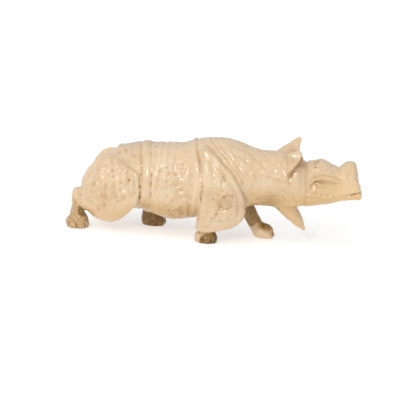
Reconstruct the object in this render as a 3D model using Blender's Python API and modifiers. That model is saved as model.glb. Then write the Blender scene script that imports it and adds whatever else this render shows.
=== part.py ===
"""An ivory rhinoceros figurine, carved in one piece.

The animal walks with its hindquarters low and its head stretched forward. +X runs towards the head, +Z up,
and the near side of the photograph is -Y. It stands on four flat soles at Z = 0, centred on the middle of its
own outline.
"""

import math

import bmesh
import bpy
import numpy as np
from mathutils import Vector

# Driving sizes, in metres. A share is a 138th of the figure's length, and every table below is written in
# shares.
FIGURE_LENGTH = 0.140
SHARE = FIGURE_LENGTH / 138
IVORY_COLOUR = (0.83, 0.66, 0.45, 1.0)
IVORY_ROUGHNESS = 0.32

# How the carved surface is made: the grain of the fused skin, in shares, how often its corners are rubbed
# down, and how many triangles are kept.
SKIN_GRAIN = 0.6
SKIN_RUBBING = 6
FINISHED_TRIANGLES = 9000

NEAR, FAR = -1, 1

# Trunk sections from the tail to the throat: x, back, belly, widest height, half width, fullness.
TRUNK = (
    (-60.8, 23.0, 14.0, 18.5, 4.5, 2.2),
    (-58.8, 27.0, 12.0, 20.0, 8.5, 2.2),
    (-56.6, 31.0, 11.0, 20.0, 11.5, 2.2),
    (-54.2, 34.8, 10.0, 20.0, 13.6, 2.2),
    (-51.2, 37.6, 10.0, 20.5, 15.0, 2.3),
    (-47.0, 40.6, 10.0, 21.0, 16.2, 2.3),
    (-42.0, 42.2, 10.5, 21.5, 16.8, 2.3),
    (-36.5, 43.5, 11.6, 22.0, 17.3, 2.3),
    (-31.0, 43.6, 11.2, 22.0, 17.9, 2.3),
    (-25.0, 44.4, 9.4, 22.0, 18.4, 2.3),
    (-19.0, 44.7, 8.2, 22.0, 18.5, 2.3),
    (-13.5, 45.4, 8.8, 23.0, 18.1, 2.3),
    (-8.0, 48.0, 10.2, 24.0, 17.4, 2.2),
    (-2.0, 49.0, 11.6, 25.5, 16.8, 2.2),
    (4.0, 49.1, 13.2, 27.0, 15.8, 2.2),
    (10.0, 48.0, 15.2, 28.0, 14.4, 2.2),
    (15.0, 46.5, 17.0, 29.0, 13.0, 2.1),
    (20.0, 45.3, 18.4, 30.0, 11.8, 2.1),
    (26.0, 45.2, 18.6, 31.0, 11.2, 2.1),
    (31.0, 45.4, 18.2, 31.5, 11.0, 2.1),
    (36.0, 44.4, 18.6, 31.5, 10.8, 2.2),
    (40.5, 42.6, 19.8, 31.0, 10.4, 2.3),
    (43.0, 40.5, 21.5, 31.0, 8.8, 2.3),
)

# Head sections from the cheeks to the lips, in the same columns. The front falls back from the lip to the
# horn.
HEAD = (
    (38.0, 40.5, 21.5, 31.0, 8.6, 2.4),
    (41.9, 41.9, 20.6, 30.5, 9.5, 2.5),
    (45.5, 42.6, 20.8, 30.5, 9.7, 2.6),
    (49.1, 43.6, 21.6, 31.0, 9.3, 2.6),
    (53.2, 42.3, 22.5, 31.0, 8.6, 2.6),
    (57.4, 40.7, 23.8, 31.5, 7.8, 2.8),
    (61.0, 40.6, 25.0, 32.0, 7.4, 3.2),
    (64.5, 40.8, 25.7, 32.5, 7.3, 3.4),
    (65.4, 40.0, 26.0, 32.5, 7.2, 3.4),
    (66.8, 37.0, 26.1, 32.0, 7.0, 3.4),
    (68.2, 33.2, 26.2, 31.0, 6.8, 3.4),
    (69.5, 30.0, 27.2, 28.8, 6.0, 3.0),
)

# The broken horn is a low stump on the nose: foot and top of its axis as x, z, and its radii.
HORN_FOOT = (62.0, 38.6)
HORN_TOP = (63.0, 43.8)
HORN_FOOT_RADIUS = 5.4
HORN_TOP_RADIUS = 3.4

# Outlines of the armour plates and thighs, as x, z and the rim's distance from the middle of the body.
NEAR_RUMP = (
    (-51.2, 38.9, 10.5), (-46.4, 37.4, 13.2), (-40.5, 34.6, 16.0), (-34.4, 30.8, 17.8), (-33.6, 24.0, 18.4),
    (-33.8, 17.8, 18.0), (-36.6, 13.4, 16.5), (-40.3, 9.2, 14.5), (-44.2, 6.4, 13.0), (-48.1, 5.4, 12.5),
    (-53.2, 6.2, 12.0), (-57.3, 8.6, 11.5), (-60.6, 12.4, 10.5), (-63.2, 17.5, 9.5), (-62.8, 24.2, 9.0),
    (-60.8, 28.8, 9.0), (-58.4, 32.4, 9.0), (-55.0, 36.2, 9.4),
)
FAR_RUMP = (
    (-51.6, 37.8, 10.5), (-46.4, 36.8, 13.2), (-40.5, 34.6, 16.0), (-34.4, 30.8, 17.8), (-31.8, 24.0, 18.4),
    (-30.6, 18.0, 18.0), (-32.0, 13.4, 16.5), (-36.0, 10.8, 14.5), (-41.0, 9.8, 13.5), (-46.5, 10.0, 12.5),
    (-52.0, 10.8, 12.0), (-57.0, 12.4, 11.5), (-60.2, 15.0, 10.5), (-62.0, 18.0, 9.5), (-62.2, 22.4, 9.0),
    (-61.4, 27.0, 8.8), (-60.3, 31.0, 8.8), (-58.6, 34.0, 9.0), (-55.6, 36.6, 9.4),
)
NEAR_SHOULDER = (
    (-5.0, 44.6, 13.2), (1.0, 41.8, 14.6), (7.2, 37.2, 15.0), (11.8, 31.8, 14.6), (14.8, 24.8, 13.8),
    (15.8, 19.0, 13.2), (15.2, 13.6, 13.0), (12.4, 9.8, 13.4), (7.0, 7.4, 14.4), (1.0, 5.8, 15.4),
    (-5.0, 5.0, 15.4), (-6.6, 9.0, 15.4), (-6.0, 18.0, 17.0), (-5.6, 28.0, 17.8), (-6.0, 38.0, 16.4),
)
FAR_SHOULDER = (
    (-5.0, 44.6, 13.2), (1.0, 41.8, 14.6), (7.6, 37.6, 15.0), (13.4, 32.4, 14.4), (17.6, 26.6, 13.2),
    (19.6, 21.4, 12.4), (18.8, 17.4, 12.2), (15.0, 14.6, 12.6), (9.0, 12.2, 13.0), (3.0, 10.8, 13.4),
    (-3.0, 10.6, 14.2), (-5.8, 13.8, 15.6), (-5.8, 20.0, 17.2), (-5.6, 28.0, 17.8), (-6.0, 38.0, 16.4),
)
RUMP_CROWN, RUMP_INNER = 19.4, 5.5
SHOULDER_CROWN, SHOULDER_INNER = 19.6, 7.5

# Legs from the body down to the sole, as x, distance from the middle, z and radius.
NEAR_HIND_SHANK = (
    (-50.0, 11.5, 13.0, 5.5), (-56.5, 10.8, 14.0, 4.6), (-61.0, 10.0, 14.6, 4.2), (-63.6, 9.7, 16.8, 2.9),
)
NEAR_HIND_LEG = (
    (-62.6, 9.7, 19.8, 1.6), (-63.4, 9.7, 18.4, 2.9), (-64.0, 9.6, 15.0, 2.8), (-63.7, 9.5, 11.0, 2.9),
    (-63.5, 9.3, 7.8, 3.7), (-63.2, 9.2, 5.4, 4.9), (-63.2, 9.2, 3.4, 5.5), (-63.2, 9.2, 1.6, 5.1),
    (-63.2, 9.2, 0.2, 4.6),
)
FAR_HIND_LEG = (
    (-34.0, 11.0, 20.0, 5.6), (-31.2, 11.2, 14.0, 5.0), (-29.9, 11.4, 9.0, 5.4), (-29.6, 11.5, 5.4, 5.8),
    (-29.6, 11.5, 3.4, 5.8), (-29.4, 11.5, 0.2, 5.0),
)
NEAR_FRONT_LEG = (
    (0.0, 12.0, 17.0, 6.4), (-0.8, 12.2, 10.0, 5.2), (-1.4, 12.4, 6.6, 4.9), (-1.5, 12.4, 4.2, 5.2),
    (-1.5, 12.4, 2.5, 5.3), (-1.5, 12.4, 0.2, 4.8),
)
FAR_FRONT_LEG = (
    (10.5, 9.0, 25.0, 7.0), (14.2, 9.2, 17.2, 4.6), (17.6, 8.7, 11.9, 3.5), (20.9, 8.0, 5.8, 3.6),
)

# Feet as x, distance from the middle and z of the middle, the radii, and how far the toes turn outward, in
# degrees. The toes are spread by an angle round the foot's front, and set in from its edge.
NEAR_HIND_FOOT = ((-63.0, 9.3, 3.6), (5.5, 5.2, 3.8), 55)
FAR_HIND_FOOT = ((-29.4, 11.5, 3.8), (5.8, 5.4, 4.0), 20)
NEAR_FRONT_FOOT = ((-1.4, 12.4, 3.6), (5.3, 5.2, 3.6), 25)
FAR_FRONT_FOOT = ((24.5, 7.9, 4.1), (5.3, 5.0, 4.3), 15)
TOE_SPREAD = 52
TOE_RADII = (1.9, 1.9, 2.0)
TOE_HEIGHT = 2.8
TOE_INSET = 1.2

# The height of the ground in these tables. The soles are cut off flat there.
SOLE_GROUND = 1.2

# Ears from root to tip: x of the open front edge, distance from the middle, z, how far the back of the cup
# lies behind the edge, and half its width. The wall is thinner near the tip, where it takes up most of the
# section.
NEAR_EAR = (
    (34.2, 8.4, 33.0, 1.0, 1.0), (35.2, 9.0, 36.5, 3.0, 2.0), (36.6, 9.6, 39.5, 5.0, 2.8),
    (38.4, 10.2, 42.3, 6.6, 3.1), (39.9, 10.6, 44.6, 7.2, 2.8), (40.3, 10.8, 46.4, 6.0, 2.2),
    (40.1, 10.9, 47.4, 3.9, 1.5), (39.2, 10.9, 48.0, 1.6, 0.7),
)
FAR_EAR = (
    (38.6, 6.8, 38.0, 11.0, 2.6), (38.7, 7.4, 43.0, 11.4, 2.8), (38.8, 8.4, 45.8, 9.0, 2.7),
    (38.9, 9.0, 48.2, 5.8, 2.2), (38.9, 9.4, 50.0, 3.4, 1.6), (38.8, 9.6, 51.1, 1.9, 1.1),
    (38.4, 9.7, 51.6, 0.8, 0.6),
)
EAR_WALL = 1.3
EAR_WALL_SHARE = 0.8
EAR_ROUNDNESS = 2.5

# The pointed fold under the throat: x, z, half thickness along its plane and across it, from the root to the
# tip.
THROAT_SPIKE = (
    (33.0, 21.0, 4.6, 5.4), (36.8, 17.2, 4.0, 4.2), (40.0, 13.6, 3.1, 2.8), (42.6, 10.8, 1.9, 1.8),
    (44.1, 8.8, 0.8, 0.9), (44.6, 8.0, 0.3, 0.3),
)

# The tail lies between the rump plates, as x, distance from the middle, z and radius.
TAIL = ((-52.5, 0.0, 34.6, 2.4), (-57.8, 0.0, 27.8, 2.0), (-60.6, 0.3, 20.5, 1.7), (-60.8, 0.6, 13.5, 1.5))

# Folds carved round the body, seen from the side: a line of x, z, then its half width and its height above
# the skin.
FOLDS = (
    (((-33.6, 11.0), (-33.3, 26.6), (-34.0, 36.6), (-36.0, 40.6), (-38.6, 44.5)), 1.1, -1.1),
    (((-31.2, 11.0), (-30.8, 26.6), (-31.4, 36.6), (-33.2, 41.0), (-35.6, 45.0)), 1.5, 0.6),
    (((-28.4, 14.0), (-28.2, 26.0), (-28.8, 36.6), (-31.0, 45.0)), 0.8, -0.6),
    (((-7.4, 14.0), (-7.2, 29.0), (-8.6, 40.0), (-11.6, 48.5)), 1.5, 0.7),
    (((-5.4, 12.0), (-4.9, 24.6), (-5.9, 34.5), (-8.6, 49.5)), 0.9, -1.0),
    (((-49.4, 40.6), (-42.5, 37.4), (-33.8, 32.4)), 1.1, -1.0),
    (((-4.0, 47.6), (1.6, 44.0), (7.6, 38.6), (12.4, 32.6), (15.6, 25.0)), 0.9, -0.8),
    (((-0.5, 47.4), (4.8, 43.2), (9.4, 38.2), (13.6, 32.4)), 0.8, 0.4),
    (((3.0, 47.6), (8.4, 42.6), (12.4, 37.6), (15.6, 32.6)), 0.9, -0.5),
    (((19.0, 36.2), (24.5, 36.6), (29.0, 35.4), (34.4, 33.4)), 1.6, 0.6),
    (((42.4, 42.0), (42.9, 33.0), (43.7, 23.0)), 0.8, -0.7),
    (((45.2, 33.4), (47.6, 35.6), (50.9, 36.7), (54.2, 36.3), (57.7, 35.4), (61.0, 34.6)), 0.8, 0.5),
    (((47.2, 34.2), (50.4, 34.0), (53.6, 33.6)), 1.0, -0.9),
    (((62.8, 28.4), (66.0, 28.9), (70.0, 30.4)), 0.7, -0.9),
)


def through(rows, steps):
    """Points on the Catmull-Rom curve through the rows, this many steps from each row to the next."""
    rows = np.asarray(rows, float)
    padded = np.vstack([2 * rows[0] - rows[1], rows, 2 * rows[-1] - rows[-2]])
    t = np.arange(steps)[:, None] / steps
    spans = [
        0.5 * (2 * b + (c - a) * t + (2 * a - 5 * b + 4 * c - d) * t**2 + (3 * b - a - 3 * c + d) * t**3)
        for a, b, c, d in zip(padded[:-3], padded[1:-2], padded[2:-1], padded[3:])
    ]
    return np.vstack([*spans, rows[-1:]])


def closed_through(rows, steps):
    """The same curve, closed on itself."""
    rows = np.asarray(rows, float)
    whole = through(np.vstack([rows[-2:], rows, rows[:2]]), steps)
    return whole[2 * steps : (2 + len(rows)) * steps]


def new_object(name, mesh, collection):
    """Puts a mesh in the scene as an object."""
    made = bpy.data.objects.new(name, mesh)
    collection.objects.link(made)
    return made


def skin(name, rings, collection):
    """A closed body over rings of points in shares, with a face on its first and last ring."""
    rings = np.asarray(rings)
    rows, around = rings.shape[:2]
    i, j = np.meshgrid(np.arange(rows - 1), np.arange(around), indexing="ij")
    beside = (j + 1) % around
    quads = np.stack(
        [i * around + j, i * around + beside, (i + 1) * around + beside, (i + 1) * around + j], -1
    ).reshape(-1, 4)
    first = list(range(around))[::-1]
    last = list(range((rows - 1) * around, rows * around))
    mesh = bpy.data.meshes.new(name)
    mesh.from_pydata((rings.reshape(-1, 3) * SHARE).tolist(), [], [*quads.tolist(), first, last])
    return new_object(name, mesh, collection)


def body_loft(name, stations, collection, around=40, steps=4):
    """A skin over superellipse sections. Each has its own height above and below its widest line."""
    angle = np.linspace(0, 2 * math.pi, around, endpoint=False)
    across, up = np.cos(angle), np.sin(angle)
    rings = []
    for x, back, belly, wide_at, half_width, fullness in through(stations, steps):
        reach = np.where(up > 0, back - wide_at, wide_at - belly)
        y = half_width * np.sign(across) * np.abs(across) ** (2 / fullness)
        z = wide_at + reach * np.sign(up) * np.abs(up) ** (2 / fullness)
        rings.append(np.stack([np.full(around, x), y, z], -1))
    return skin(name, rings, collection)


def plate(name, outline, side, crown, inner, collection, steps=3, fullness=3.0):
    """An armour plate: rings shrink from its rim to its middle, and both faces swell away from the rim."""
    rim = closed_through(outline, steps)
    middle = rim[:, :2].mean(0)
    shrink = np.linspace(0, 1, 9)[1:]
    rings = []
    for face, shares in ((inner, shrink), (crown, shrink[-2::-1])):
        for share in shares:
            xz = middle + (rim[:, :2] - middle) * share
            y = rim[:, 2] + (face - rim[:, 2]) * (1 - share**fullness)
            rings.append(np.stack([xz[:, 0], side * y, xz[:, 1]], -1))
    return skin(name, rings, collection)


def limb(name, rows, side, collection):
    """A leg or a tail: a curve with a round bevel whose radius follows the rows."""
    curve = bpy.data.curves.new(name, "CURVE")
    curve.dimensions = "3D"
    curve.bevel_depth = SHARE
    curve.bevel_resolution = 6
    curve.use_fill_caps = True
    points = through(rows, 3)
    spline = curve.splines.new("POLY")
    spline.points.add(len(points) - 1)
    for point, (x, y, z, radius) in zip(spline.points, points):
        point.co = (x * SHARE, side * y * SHARE, z * SHARE, 1)
        point.radius = radius
    drawn = new_object(name + "_line", curve, collection)
    shown = drawn.evaluated_get(bpy.context.evaluated_depsgraph_get())
    mesh = bpy.data.meshes.new_from_object(shown)
    bpy.data.objects.remove(drawn)
    welded = bmesh.new()
    welded.from_mesh(mesh)
    bmesh.ops.remove_doubles(welded, verts=welded.verts, dist=1e-6)
    welded.to_mesh(mesh)
    welded.free()
    return new_object(name, mesh, collection)


def ball(name, middle, radii, collection):
    """An ellipsoid, from a sphere primitive."""
    mesh = bpy.data.meshes.new(name)
    shape = bmesh.new()
    bmesh.ops.create_uvsphere(shape, u_segments=28, v_segments=16, radius=1)
    bmesh.ops.scale(shape, vec=[r * SHARE for r in radii], verts=shape.verts)
    bmesh.ops.translate(shape, vec=Vector(middle) * SHARE, verts=shape.verts)
    shape.to_mesh(mesh)
    shape.free()
    return new_object(name, mesh, collection)


def foot(name, place, side, collection):
    """A rounded foot with three toes spread round its front."""
    (x, y, z), radii, outward = place
    made = [ball(name, (x, side * y, z), radii, collection)]
    for number, turn in enumerate((-TOE_SPREAD, 0, TOE_SPREAD)):
        angle = math.radians(outward + turn)
        reach_x = (radii[0] - TOE_INSET) * math.cos(angle)
        reach_y = (radii[1] - TOE_INSET) * math.sin(angle)
        middle = (x + reach_x, side * (y + reach_y), TOE_HEIGHT)
        made.append(ball(f"{name}_toe_{number}", middle, TOE_RADII, collection))
    return made


def ear(name, stations, side, collection, across=9):
    """A leaf-shaped cup: level U-shaped sections, open to the front, one above the other."""
    s = np.linspace(-1, 1, across)
    bow = 1 - np.abs(s) ** EAR_ROUNDNESS
    rings = []
    for x, y, z, depth, half_width in through(stations, 3):
        wall = min(EAR_WALL, half_width * EAR_WALL_SHARE, depth * EAR_WALL_SHARE)
        outer = x - depth * bow, y + half_width * s
        inner = x - (depth - wall) * bow, y + (half_width - wall) * s
        flat = np.concatenate([np.stack(outer, -1), np.stack(inner, -1)[::-1]])
        rings.append(np.column_stack([flat[:, 0], side * flat[:, 1], np.full(2 * across, z)]))
    return skin(name, rings, collection)


def throat_spike(name, collection, around=20):
    """The pointed throat fold: oval sections square to the line that its middle follows."""
    rows = through(THROAT_SPIKE, 4)
    line = rows[:, :2]
    slope = np.gradient(line, axis=0)
    slope /= np.linalg.norm(slope, axis=1)[:, None]
    angle = np.linspace(0, 2 * math.pi, around, endpoint=False)
    rings = []
    for (x, z, thick, wide), (dx, dz) in zip(rows, slope):
        lift = thick * np.sin(angle)
        rings.append(np.stack([x - dz * lift, wide * np.cos(angle), z + dx * lift], -1))
    return skin(name, rings, collection)


def horn_stump(name, collection):
    """What is left of the horn: a short cone with a blunt top."""
    mesh = bpy.data.meshes.new(name)
    shape = bmesh.new()
    rise = Vector((HORN_TOP[0] - HORN_FOOT[0], 0, HORN_TOP[1] - HORN_FOOT[1]))
    bmesh.ops.create_cone(
        shape,
        cap_ends=True,
        segments=28,
        radius1=HORN_FOOT_RADIUS * SHARE,
        radius2=HORN_TOP_RADIUS * SHARE,
        depth=rise.length * SHARE,
    )
    bmesh.ops.rotate(shape, matrix=rise.to_track_quat("Z", "Y").to_matrix(), verts=shape.verts)
    middle = Vector((HORN_FOOT[0], 0, HORN_FOOT[1])) + rise / 2
    bmesh.ops.translate(shape, vec=middle * SHARE, verts=shape.verts)
    shape.to_mesh(mesh)
    shape.free()
    return new_object(name, mesh, collection)


def fused(name, pieces, collection):
    """All the overlapping forms as one closed skin of even grain, with its corners rubbed down."""
    whole = bmesh.new()
    for piece in pieces:
        whole.from_mesh(piece.data)
        bpy.data.objects.remove(piece)
    bmesh.ops.recalc_face_normals(whole, faces=whole.faces)
    mesh = bpy.data.meshes.new(name)
    whole.to_mesh(mesh)
    whole.free()
    block = new_object(name, mesh, collection)
    grain = block.modifiers.new("one_skin", "REMESH")
    grain.mode = "VOXEL"
    grain.voxel_size = SKIN_GRAIN * SHARE
    rubbing = block.modifiers.new("rubbed_corners", "SMOOTH")
    rubbing.factor = 0.5
    rubbing.iterations = SKIN_RUBBING
    return settled(block)


def settled(made):
    """Makes an object's evaluated shape its own mesh, with no modifiers left."""
    shown = made.evaluated_get(bpy.context.evaluated_depsgraph_get())
    mesh = bpy.data.meshes.new_from_object(shown)
    made.modifiers.clear()
    made.data = mesh
    return made


def distance_to_line(xz, line):
    """How far each point lies from a broken line, both seen from the side."""
    line = np.asarray(line, float)
    nearest = np.full(len(xz), np.inf)
    for start, end in zip(line[:-1], line[1:]):
        along = end - start
        share = np.clip((xz - start) @ along / (along @ along), 0, 1)
        nearest = np.minimum(nearest, np.linalg.norm(xz - start - share[:, None] * along, axis=1))
    return nearest


def carve_folds(made):
    """Raises or sinks the skin along each fold, on both sides of the body."""
    mesh = made.data
    points = np.zeros(len(mesh.vertices) * 3)
    normals = np.zeros(len(mesh.vertices) * 3)
    mesh.vertices.foreach_get("co", points)
    mesh.vertices.foreach_get("normal", normals)
    points = points.reshape(-1, 3) / SHARE
    normals = normals.reshape(-1, 3)
    lift = np.zeros(len(points))
    for line, half_width, height in FOLDS:
        reach = distance_to_line(points[:, [0, 2]], through(line, 4)) / half_width
        lift += height * np.exp(-(reach**2))
    moved = (points + normals * lift[:, None]) * SHARE
    mesh.vertices.foreach_set("co", moved.ravel())
    mesh.update()


def thinned(made):
    """Fewer, larger faces where the carving is plain."""
    faces = sum(len(face.vertices) - 2 for face in made.data.polygons)
    fewer = made.modifiers.new("fewer_faces", "DECIMATE")
    fewer.ratio = FINISHED_TRIANGLES / faces
    return settled(made)


def flat_soles(made, cutters):
    """Cuts the feet off flat at the ground, so that all four soles lie in one plane."""
    deep = FIGURE_LENGTH
    block = bmesh.new()
    bmesh.ops.create_cube(block, size=2 * deep)
    bmesh.ops.translate(block, vec=(0, 0, SOLE_GROUND * SHARE - deep), verts=block.verts)
    mesh = bpy.data.meshes.new("ground_cut")
    block.to_mesh(mesh)
    block.free()
    cutter = new_object("ground_cut", mesh, cutters)
    cutter.hide_render = True
    cutter.display_type = "WIRE"
    cut = made.modifiers.new("flat_soles", "BOOLEAN")
    cut.operation = "DIFFERENCE"
    cut.object = cutter
    return settled(made)


def centred(made):
    """Moves the figure so that its origin is on the ground, under the middle of its outline."""
    corners = np.array([vertex.co for vertex in made.data.vertices])
    low, high = corners.min(0), corners.max(0)
    shift = Vector((-(low[0] + high[0]) / 2, -(low[1] + high[1]) / 2, -low[2]))
    for vertex in made.data.vertices:
        vertex.co += shift


def ivory():
    """Polished ivory."""
    material = bpy.data.materials.new("ivory")
    material.use_nodes = True
    shader = material.node_tree.nodes["Principled BSDF"]
    shader.inputs["Base Color"].default_value = IVORY_COLOUR
    shader.inputs["Roughness"].default_value = IVORY_ROUGHNESS
    shader.inputs["Metallic"].default_value = 0.0
    return material


def forms(collection):
    """Every form that the figure is blocked out from, overlapping its neighbours."""
    made = [
        body_loft("trunk", TRUNK, collection),
        body_loft("head", HEAD, collection),
        horn_stump("horn_stump", collection),
        throat_spike("throat_spike", collection),
        plate("near_rump", NEAR_RUMP, NEAR, RUMP_CROWN, RUMP_INNER, collection),
        plate("far_rump", FAR_RUMP, FAR, RUMP_CROWN, RUMP_INNER, collection),
        plate("near_shoulder", NEAR_SHOULDER, NEAR, SHOULDER_CROWN, SHOULDER_INNER, collection),
        plate("far_shoulder", FAR_SHOULDER, FAR, SHOULDER_CROWN, SHOULDER_INNER, collection),
        limb("near_hind_shank", NEAR_HIND_SHANK, NEAR, collection),
        limb("near_hind_leg", NEAR_HIND_LEG, NEAR, collection),
        limb("far_hind_leg", FAR_HIND_LEG, FAR, collection),
        limb("near_front_leg", NEAR_FRONT_LEG, NEAR, collection),
        limb("far_front_leg", FAR_FRONT_LEG, FAR, collection),
        limb("tail", TAIL, FAR, collection),
        ear("near_ear", NEAR_EAR, NEAR, collection),
        ear("far_ear", FAR_EAR, FAR, collection),
    ]
    made += foot("near_hind_foot", NEAR_HIND_FOOT, NEAR, collection)
    made += foot("far_hind_foot", FAR_HIND_FOOT, FAR, collection)
    made += foot("near_front_foot", NEAR_FRONT_FOOT, NEAR, collection)
    made += foot("far_front_foot", FAR_FRONT_FOOT, FAR, collection)
    return made


def main():
    for old in list(bpy.data.objects):
        bpy.data.objects.remove(old)
    figure = bpy.data.collections.new("rhinoceros_figurine")
    cutters = bpy.data.collections.new("cutters")
    bpy.context.scene.collection.children.link(figure)
    bpy.context.scene.collection.children.link(cutters)
    rhinoceros = fused("rhinoceros", forms(figure), figure)
    carve_folds(rhinoceros)
    thinned(rhinoceros)
    flat_soles(rhinoceros, cutters)
    centred(rhinoceros)
    rhinoceros.data.materials.clear()
    rhinoceros.data.materials.append(ivory())
    rhinoceros.data.shade_smooth()


main()
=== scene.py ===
import math

import bmesh
import bpy
import numpy as np
from mathutils import Matrix, Vector


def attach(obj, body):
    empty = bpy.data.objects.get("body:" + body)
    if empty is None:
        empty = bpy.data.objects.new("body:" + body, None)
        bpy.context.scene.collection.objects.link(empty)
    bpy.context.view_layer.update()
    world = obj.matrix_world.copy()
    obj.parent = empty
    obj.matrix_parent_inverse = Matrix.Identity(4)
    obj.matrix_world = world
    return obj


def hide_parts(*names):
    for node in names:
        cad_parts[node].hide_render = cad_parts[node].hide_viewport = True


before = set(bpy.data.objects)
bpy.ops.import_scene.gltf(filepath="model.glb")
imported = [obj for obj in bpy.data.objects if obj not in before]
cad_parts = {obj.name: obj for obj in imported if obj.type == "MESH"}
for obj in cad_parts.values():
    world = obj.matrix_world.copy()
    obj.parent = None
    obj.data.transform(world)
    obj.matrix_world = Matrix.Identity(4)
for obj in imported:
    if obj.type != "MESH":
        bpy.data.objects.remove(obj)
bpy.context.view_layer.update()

# The block: the barrel of the body, the neck and the head, rounded out of one solid length of tusk.
# The carver leaves them as swelling forms first, and cuts every plate, leg and fold from the same block.
SHARE = 0.140 / 138  # a 138th of the figure's length, in metres; the tables below are written in these shares

# Trunk sections from the tail to the throat: x, back, belly, widest height, half width, fullness.
TRUNK = (
    (-60.8, 23.0, 14.0, 18.5, 4.5, 2.2),
    (-58.8, 27.0, 12.0, 20.0, 8.5, 2.2),
    (-56.6, 31.0, 11.0, 20.0, 11.5, 2.2),
    (-54.2, 34.8, 10.0, 20.0, 13.6, 2.2),
    (-51.2, 37.6, 10.0, 20.5, 15.0, 2.3),
    (-47.0, 40.6, 10.0, 21.0, 16.2, 2.3),
    (-42.0, 42.2, 10.5, 21.5, 16.8, 2.3),
    (-36.5, 43.5, 11.6, 22.0, 17.3, 2.3),
    (-31.0, 43.6, 11.2, 22.0, 17.9, 2.3),
    (-25.0, 44.4, 9.4, 22.0, 18.4, 2.3),
    (-19.0, 44.7, 8.2, 22.0, 18.5, 2.3),
    (-16.2, 45.0, 8.4, 22.6, 18.3, 2.3),
    (-13.4, 46.4, 9.0, 23.0, 18.0, 2.3),
    (-8.0, 48.0, 10.2, 24.0, 17.4, 2.2),
    (-2.0, 49.0, 11.6, 25.5, 16.8, 2.2),
    (4.0, 49.1, 13.2, 27.0, 15.8, 2.2),
    (10.0, 48.0, 15.2, 28.0, 14.4, 2.2),
    (15.0, 46.5, 17.0, 29.0, 13.0, 2.1),
    (20.0, 45.3, 18.4, 30.0, 11.8, 2.1),
    (26.0, 45.2, 18.6, 31.0, 11.2, 2.1),
    (31.0, 45.4, 18.2, 31.5, 11.0, 2.1),
    (36.0, 44.4, 18.6, 31.5, 10.8, 2.2),
    (40.5, 42.6, 19.8, 31.0, 10.4, 2.3),
    (43.0, 40.5, 21.5, 31.0, 8.8, 2.3),
)

# Head sections from the cheeks to the lips, in the same columns.
HEAD = (
    (38.0, 40.5, 21.5, 31.0, 8.6, 2.4),
    (41.9, 41.9, 20.6, 30.5, 9.5, 2.5),
    (45.5, 42.6, 20.8, 30.5, 9.7, 2.6),
    (49.1, 43.6, 21.6, 31.0, 9.3, 2.6),
    (53.2, 42.3, 22.5, 31.0, 8.6, 2.6),
    (57.4, 40.7, 23.8, 31.5, 7.8, 2.8),
    (61.0, 40.6, 25.0, 32.0, 7.4, 3.2),
    (64.5, 40.8, 25.7, 32.5, 7.3, 3.4),
    (65.4, 40.0, 26.0, 32.5, 7.2, 3.4),
    (66.8, 37.0, 26.1, 32.0, 7.0, 3.4),
    (68.2, 33.2, 26.2, 31.0, 6.8, 3.4),
    (69.5, 30.0, 27.2, 28.8, 6.0, 3.0),
)

NEAR, FAR = -1, 1  # the side towards the photograph, and the side turned away from it
roughed_out = []  # every swelling form as its points and faces, before they are made one


def through(rows, steps):
    """Points on the Catmull-Rom curve through the rows, this many steps from each row to the next."""
    rows = np.asarray(rows, float)
    padded = np.vstack([2 * rows[0] - rows[1], rows, 2 * rows[-1] - rows[-2]])
    t = (np.arange(steps) / steps)[:, None, None]
    a, b, c, d = padded[:-3], padded[1:-2], padded[2:-1], padded[3:]
    spans = 0.5 * (2 * b + (c - a) * t + (2 * a - 5 * b + 4 * c - d) * t**2 + (3 * b - a - 3 * c + d) * t**3)
    return np.vstack([spans.transpose(1, 0, 2).reshape(-1, rows.shape[1]), rows[-1:]])


def rough_out(rings):
    """Closes rings of points (row, around, xyz) with a fan on each end, and adds them to the block.

    The volume under the faces, a sixth of the sum of p . (q x r), says whether they face outward."""
    rings = np.asarray(rings, float)
    rows, around = rings.shape[:2]
    i, j = np.meshgrid(np.arange(rows - 1), np.arange(around), indexing="ij")
    beside = (j + 1) % around
    a, b = i * around + j, i * around + beside
    c, d = b + around, a + around
    triangles = np.concatenate([np.stack([a, b, c], -1), np.stack([a, c, d], -1)]).reshape(-1, 3)
    edge = np.arange(around)
    turned = (edge + 1) % around
    last = (rows - 1) * around
    first_pole, last_pole = rows * around, rows * around + 1
    first_fan = np.stack([turned, edge, np.full(around, first_pole)], -1)
    last_fan = np.stack([last + edge, last + turned, np.full(around, last_pole)], -1)
    triangles = np.concatenate([triangles, first_fan, last_fan])
    points = np.concatenate([rings.reshape(-1, 3), rings[:1].mean(1), rings[-1:].mean(1)])
    p, q, r = points[triangles].transpose(1, 0, 2)
    if (p * np.cross(q, r)).sum() < 0:
        triangles = triangles[:, ::-1]
    roughed_out.append((points, triangles))


def barrel(stations, around=72, steps=6):
    """Superellipse rings: y = half width * cos^(2/n), z = widest height + reach * sin^(2/n).

    The reach is the way up to the back or down to the belly, and n is the fullness."""
    angle = np.linspace(0, 2 * math.pi, around, endpoint=False)
    across, up = np.cos(angle), np.sin(angle)
    x, back, belly, wide_at, half_width, fullness = through(stations, steps).T[:, :, None]
    reach = np.where(up > 0, back - wide_at, wide_at - belly)
    y = half_width * np.sign(across) * np.abs(across) ** (2 / fullness)
    z = wide_at + reach * np.sign(up) * np.abs(up) ** (2 / fullness)
    return np.stack([x + 0 * y, y, z], -1)


rough_out(barrel(TRUNK))
rough_out(barrel(HEAD))

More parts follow.
